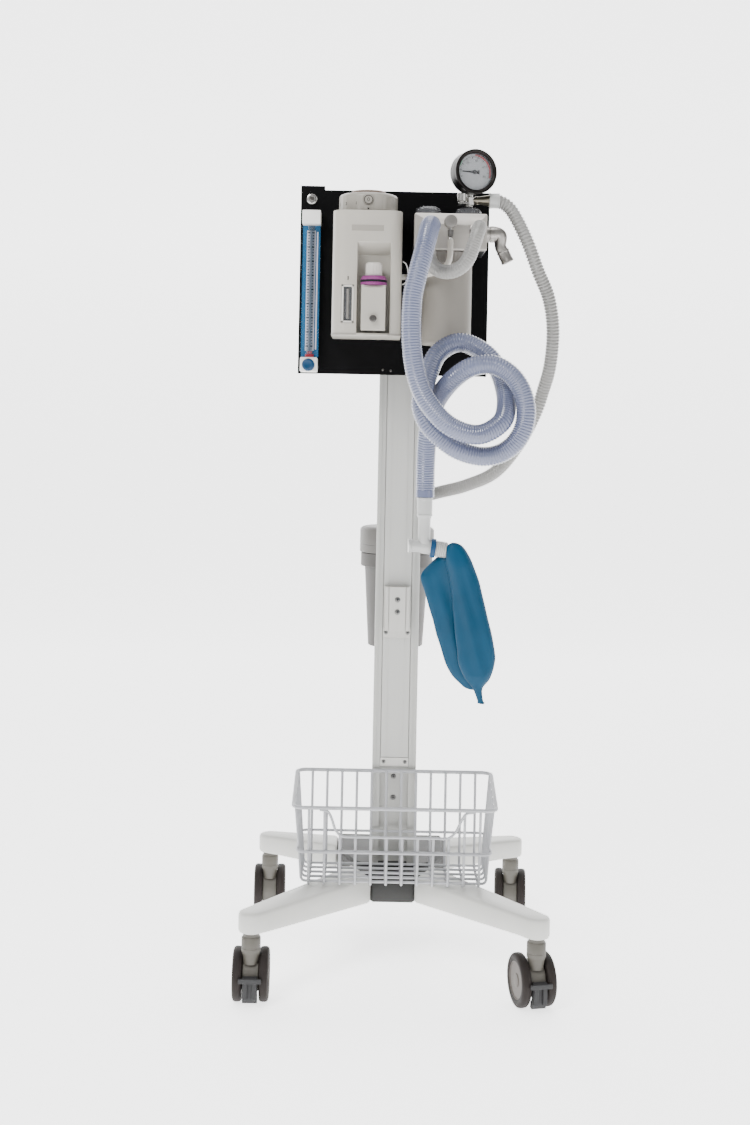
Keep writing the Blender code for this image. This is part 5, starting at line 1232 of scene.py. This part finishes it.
def add_patient_connector():
    lo = low("patient_connector")
    z0, neck_z = CUFF_TOP - 0.0430, 0.6415
    cuff = lathe("connector_cuff", [
        (0, 0), (0.0088, 0), (0.0090, 0.0120), (0.0098, 0.0150), (0.0116, 0.0170), (0.0116, 0.0185),
        (0.0110, 0.0190),
        (0.0112, 0.0390), (0.0116, 0.0396), (0.0116, 0.0425), (0.0112, 0.0430), (0, 0.0430)],
        (LIMB_X, LIMB_Y, z0), (0, 0, 1), 64)
    settle(cuff, FRAME, CUFF_WHITE, ["patient_connector"])
    bend = [Vector((LIMB_X, LIMB_Y, z0 + 0.004 - 0.003 * k)) for k in range(6)]
    for k in range(9):
        a = math.radians(90 * k / 8)
        bend.append(Vector((LIMB_X + 0.0130 - 0.0130 * math.cos(a), LIMB_Y,
                            neck_z + 0.0125 - 0.0130 * math.sin(a))))
    elbow = swept("connector_elbow", bend, lambda gone: 0.0088, 40)
    settle(elbow, FRAME, CUFF_WHITE)
    start, end = Vector((0.0110, LIMB_Y, neck_z + 0.0015)), Vector((0.0460, LIMB_Y, neck_z - 0.0015))
    tall = (end - start).length
    port = lathe("connector_port", [
        (0, 0), (0.0088, 0), (0.0098, 0.0010), (0.0098, 0.0040), (0.0088, 0.0048), (0.0086, 0.0170),
        (0.0092, 0.0200),
        (0.0100, 0.0230), (0.0100, tall - 0.0006), (0.0092, tall), (0, tall)], start,
                 (end - start).normalized(), 56)
    settle(port, FRAME, CUFF_WHITE)
    ring = lathe("connector_end_ring", [(0.0070, -0.0008), (0.0098, -0.0008), (0.0100, 0), (0.0098, 0.0008),
                                        (0.0070, 0.0008)], (lo.x + 0.0009, LIMB_Y, neck_z + 0.0015),
                 (1, 0, 0), 48)
    settle(ring, FRAME, WHITE_PLASTIC)
    neck_dir = Vector((0.96, 0, -0.12)).normalized()
    neck_at = Vector((0.0430, LIMB_Y, neck_z - 0.0014))
    ring = lathe("bag_blue_ring",
                 [(0, 0), (0.0130, 0), (0.0138, 0.0010), (0.0138, 0.0060), (0.0130, 0.0070), (0, 0.0070)],
                 neck_at, neck_dir, 64)
    settle(ring, FRAME, RING_BLUE, ["bag_collar"])
    profile = [(0, 0.0070), (0.0108, 0.0070)]
    for k in range(5):
        start_h = 0.0080 + 0.0030 * k
        profile += [(0.0108, start_h), (0.0119, start_h + 0.0006), (0.0119, start_h + 0.0018),
                    (0.0108, start_h + 0.0024)]
    profile += [(0.0108, 0.0240), (0, 0.0240)]
    settle(lathe("bag_ribbed_collar", profile, neck_at, neck_dir, 64), FRAME, CUFF_WHITE)


# The empty bag hangs as two flat folds, one over the other. Each row is a height, a left and a right edge,
# given to whole millimetres: a round shoulder, a side that leans outwards, and a tail.
FRONT_FOLD = [
    (0.649, 0.073, 0.079), (0.645, 0.067, 0.088), (0.635, 0.065, 0.096), (0.615, 0.066, 0.106),
    (0.580, 0.073, 0.117), (0.500, 0.082, 0.137), (0.475, 0.086, 0.138), (0.455, 0.095, 0.131),
    (0.440, 0.107, 0.121), (0.420, 0.115, 0.123)]
REAR_FOLD = [
    (0.633, 0.060, 0.068), (0.621, 0.047, 0.090), (0.605, 0.032, 0.095), (0.592, 0.030, 0.098),
    (0.565, 0.039, 0.105), (0.510, 0.056, 0.115), (0.470, 0.069, 0.120), (0.442, 0.092, 0.117),
    (0.436, 0.105, 0.115)]


def row_at(rows, t):
    """A row between the listed ones, on a smooth curve."""
    t *= len(rows) - 1
    i = min(int(t), len(rows) - 2)
    t -= i
    near = [rows[max(i - 1, 0)], rows[i], rows[i + 1], rows[min(i + 2, len(rows) - 1)]]
    return [0.5 * (2 * b + (c - a) * t + (2 * a - 5 * b + 4 * c - d) * t ** 2
                   + (3 * b - a - 3 * c + d) * t ** 3)
            for a, b, c, d in zip(*near)]


def add_fold(bm, rows, y, deep, seed):
    """One fold: lens-shaped across, with long shallow creases that run down it."""
    around, count, rings = 72, 130, []
    for n in range(count + 1):
        z, left, right = row_at(rows, n / count)
        mid, wide = (left + right) / 2, max(0.001, (right - left) / 2)
        thick = deep * min(1.0, wide / 0.020) ** 0.7
        slack = smooth_step(wide / 0.018)
        ring = []
        for k in range(around):
            c, s = math.cos(2 * math.pi * k / around), math.sin(2 * math.pi * k / around)
            flat = abs(s) ** (1 + 0.1 * slack) * (1 if s > 0 else -1)
            point = Vector((mid + wide * c, y + thick * flat, z))
            down = point.x * 0.95 + point.z * 0.30
            crease = noise.noise(Vector((down * 62 + seed, point.y * 6, point.z * 7)))
            ripple = noise.noise(Vector((point.x * 55, seed + point.y * 14, point.z * 30)))
            point.y += s * slack * (0.0034 * crease + 0.0012 * ripple)
            point.x += c * slack * 0.0012 * ripple
            ring.append(bm.verts.new(point))
        rings.append(ring)
    for near, far in zip(rings, rings[1:]):
        for k in range(around):
            m = (k + 1) % around
            bm.faces.new((near[k], near[m], far[m], far[k]))
    bm.faces.new(rings[0])
    bm.faces.new(rings[-1])


def add_bag():
    """A slack silicone bag: two folds grown together into one closed skin, and a bead at its tail."""
    bm = bmesh.new()
    add_fold(bm, FRONT_FOLD, -0.1595, 0.0115, 2.3)
    add_fold(bm, REAR_FOLD, -0.1430, 0.0095, 8.1)
    bag = from_bmesh("silicone_bag", bm, 80)
    mod = bag.modifiers.new("Skin", "REMESH")
    mod.mode, mod.voxel_size, mod.use_smooth_shade = "VOXEL", 0.0011, True
    mod = bag.modifiers.new("Relax", "SMOOTH")
    mod.factor, mod.iterations = 0.5, 3
    apply(bag)
    bag.data.shade_smooth()
    settle(bag, FRAME, BAG_TEAL, ["breathing_bag"])
    tail = lathe("bag_tail_bead", [(0, 0), (0.0046, 0), (0.0052, 0.0006), (0.0052, 0.0024), (0.0046, 0.0030),
                                   (0, 0.0030)], (0.1190, -0.1580, 0.4190), (0.12, 0, 0.99), 32)
    settle(tail, FRAME, BAG_TEAL)
    return bag


add_cuffs()
add_patient_connector()
BAG_SKIN = add_bag()


# ---- holder and scavenging canister behind the column ----
def add_holder():
    z = low("canister_holder").z
    cup = lathe("holder_cup", [
        (0, 0), (0.0435, 0), (0.0445, 0.0010), (0.0519, 0.1285), (0.0485, 0.1290), (0.0415, 0.0040),
        (0, 0.0040)],
        (0, BIN_Y, z), (0, 0, 1), 96)
    settle(cup, FRAME, HOLDER, ["canister_holder"])
    ring = lathe("holder_collar", [
        (0.0486, 0.1291), (0.0578, 0.1291), (0.0585, 0.1300), (0.0585, 0.1500), (0.0578, 0.1510),
        (0.0546, 0.1510),
        (0.0540, 0.1504), (0.0540, 0.1330)], (0, BIN_Y, z), (0, 0, 1), 96)
    settle(ring, FRAME, HOLDER_DARK)
    hook = box("holder_hook", (-0.020, high("column").y + GAP, z + 0.130),
               (0.020, BIN_Y - 0.0545, z + 0.1505), 0.0012)
    settle(hook, FRAME, HOLDER_DARK)
    z += 0.0043
    can = lathe("scavenger_can", [
        (0, 0), (0.0385, 0), (0.0395, 0.0010), (0.0470, 0.1260), (0.0525, 0.1340), (0.0525, 0.1472),
        (0.0598, 0.1476),
        (0.0605, 0.1484), (0.0605, 0.1600), (0.0600, 0.1604), (0.0600, 0.1612), (0.0605, 0.1616),
        (0.0605, 0.1830),
        (0.0592, 0.1860), (0.0560, 0.1884), (0.0500, 0.1895), (0.0150, 0.1895), (0.0130, 0.1900),
        (0.0120, 0.1915),
        (0.0115, 0.1955), (0, 0.1955)], (0, BIN_Y, z), (0, 0, 1), 96)
    settle(can, FRAME, SCAVENGER, ["scavenging_canister"])


add_holder()


# ---- studio: pale floor and soft lights ----
def add_light(name, at, aim, size, power, colour=(1, 1, 1)):
    lamp = bpy.data.lights.new(name, "AREA")
    lamp.shape, lamp.size, lamp.energy, lamp.color = "DISK", size, power, colour
    obj = bpy.data.objects.new(name, lamp)
    bpy.context.scene.collection.objects.link(obj)
    away = (Vector(at) - Vector(aim)).to_track_quat("Z", "Y")
    obj.matrix_world = Matrix.Translation(at) @ away.to_matrix().to_4x4()


def add_studio():
    bm = bmesh.new()
    profile = [(-9.0, 0.0), (3.0, 0.0)]
    for k in range(1, 13):
        a = math.radians(90 * k / 12)
        profile.append((3.0 + 1.6 * math.sin(a), 1.6 - 1.6 * math.cos(a)))
    profile.append((4.6, 9.0))
    rows = [[bm.verts.new((x, y, z)) for x in (-12, 12)] for y, z in profile]
    for near, far in zip(rows, rows[1:]):
        bm.faces.new((near[0], near[1], far[1], far[0]))
    sweep = from_bmesh("studio_sweep", bm, 60)
    white = material("studio_sweep", srgb(250, 250, 250), 0.8, vary=0.004, scale=2, bump=0.02, specular=0.1)
    shader = white.node_tree.nodes["Principled BSDF"]
    shader.inputs["Emission Color"].default_value = (1, 1, 1, 1)
    shader.inputs["Emission Strength"].default_value = GLOW
    sweep.data.materials.append(white)
    world = bpy.data.worlds.new("studio") if not bpy.context.scene.world else bpy.context.scene.world
    bpy.context.scene.world = world
    world.use_nodes = True
    sky = world.node_tree.nodes["Background"]
    sky.inputs["Color"].default_value = (1.0, 1.0, 1.0, 1)
    sky.inputs["Strength"].default_value = 0.45
    add_light("key", (-1.5, -2.4, 2.8), (0, 0, 0.7), 1.3, 84)
    add_light("fill", (2.2, -2.0, 1.6), (0, 0, 0.7), 2.0, 18)
    add_light("top", (0.0, -0.2, 3.2), (0, 0, 0.6), 1.6, 34)


add_studio()
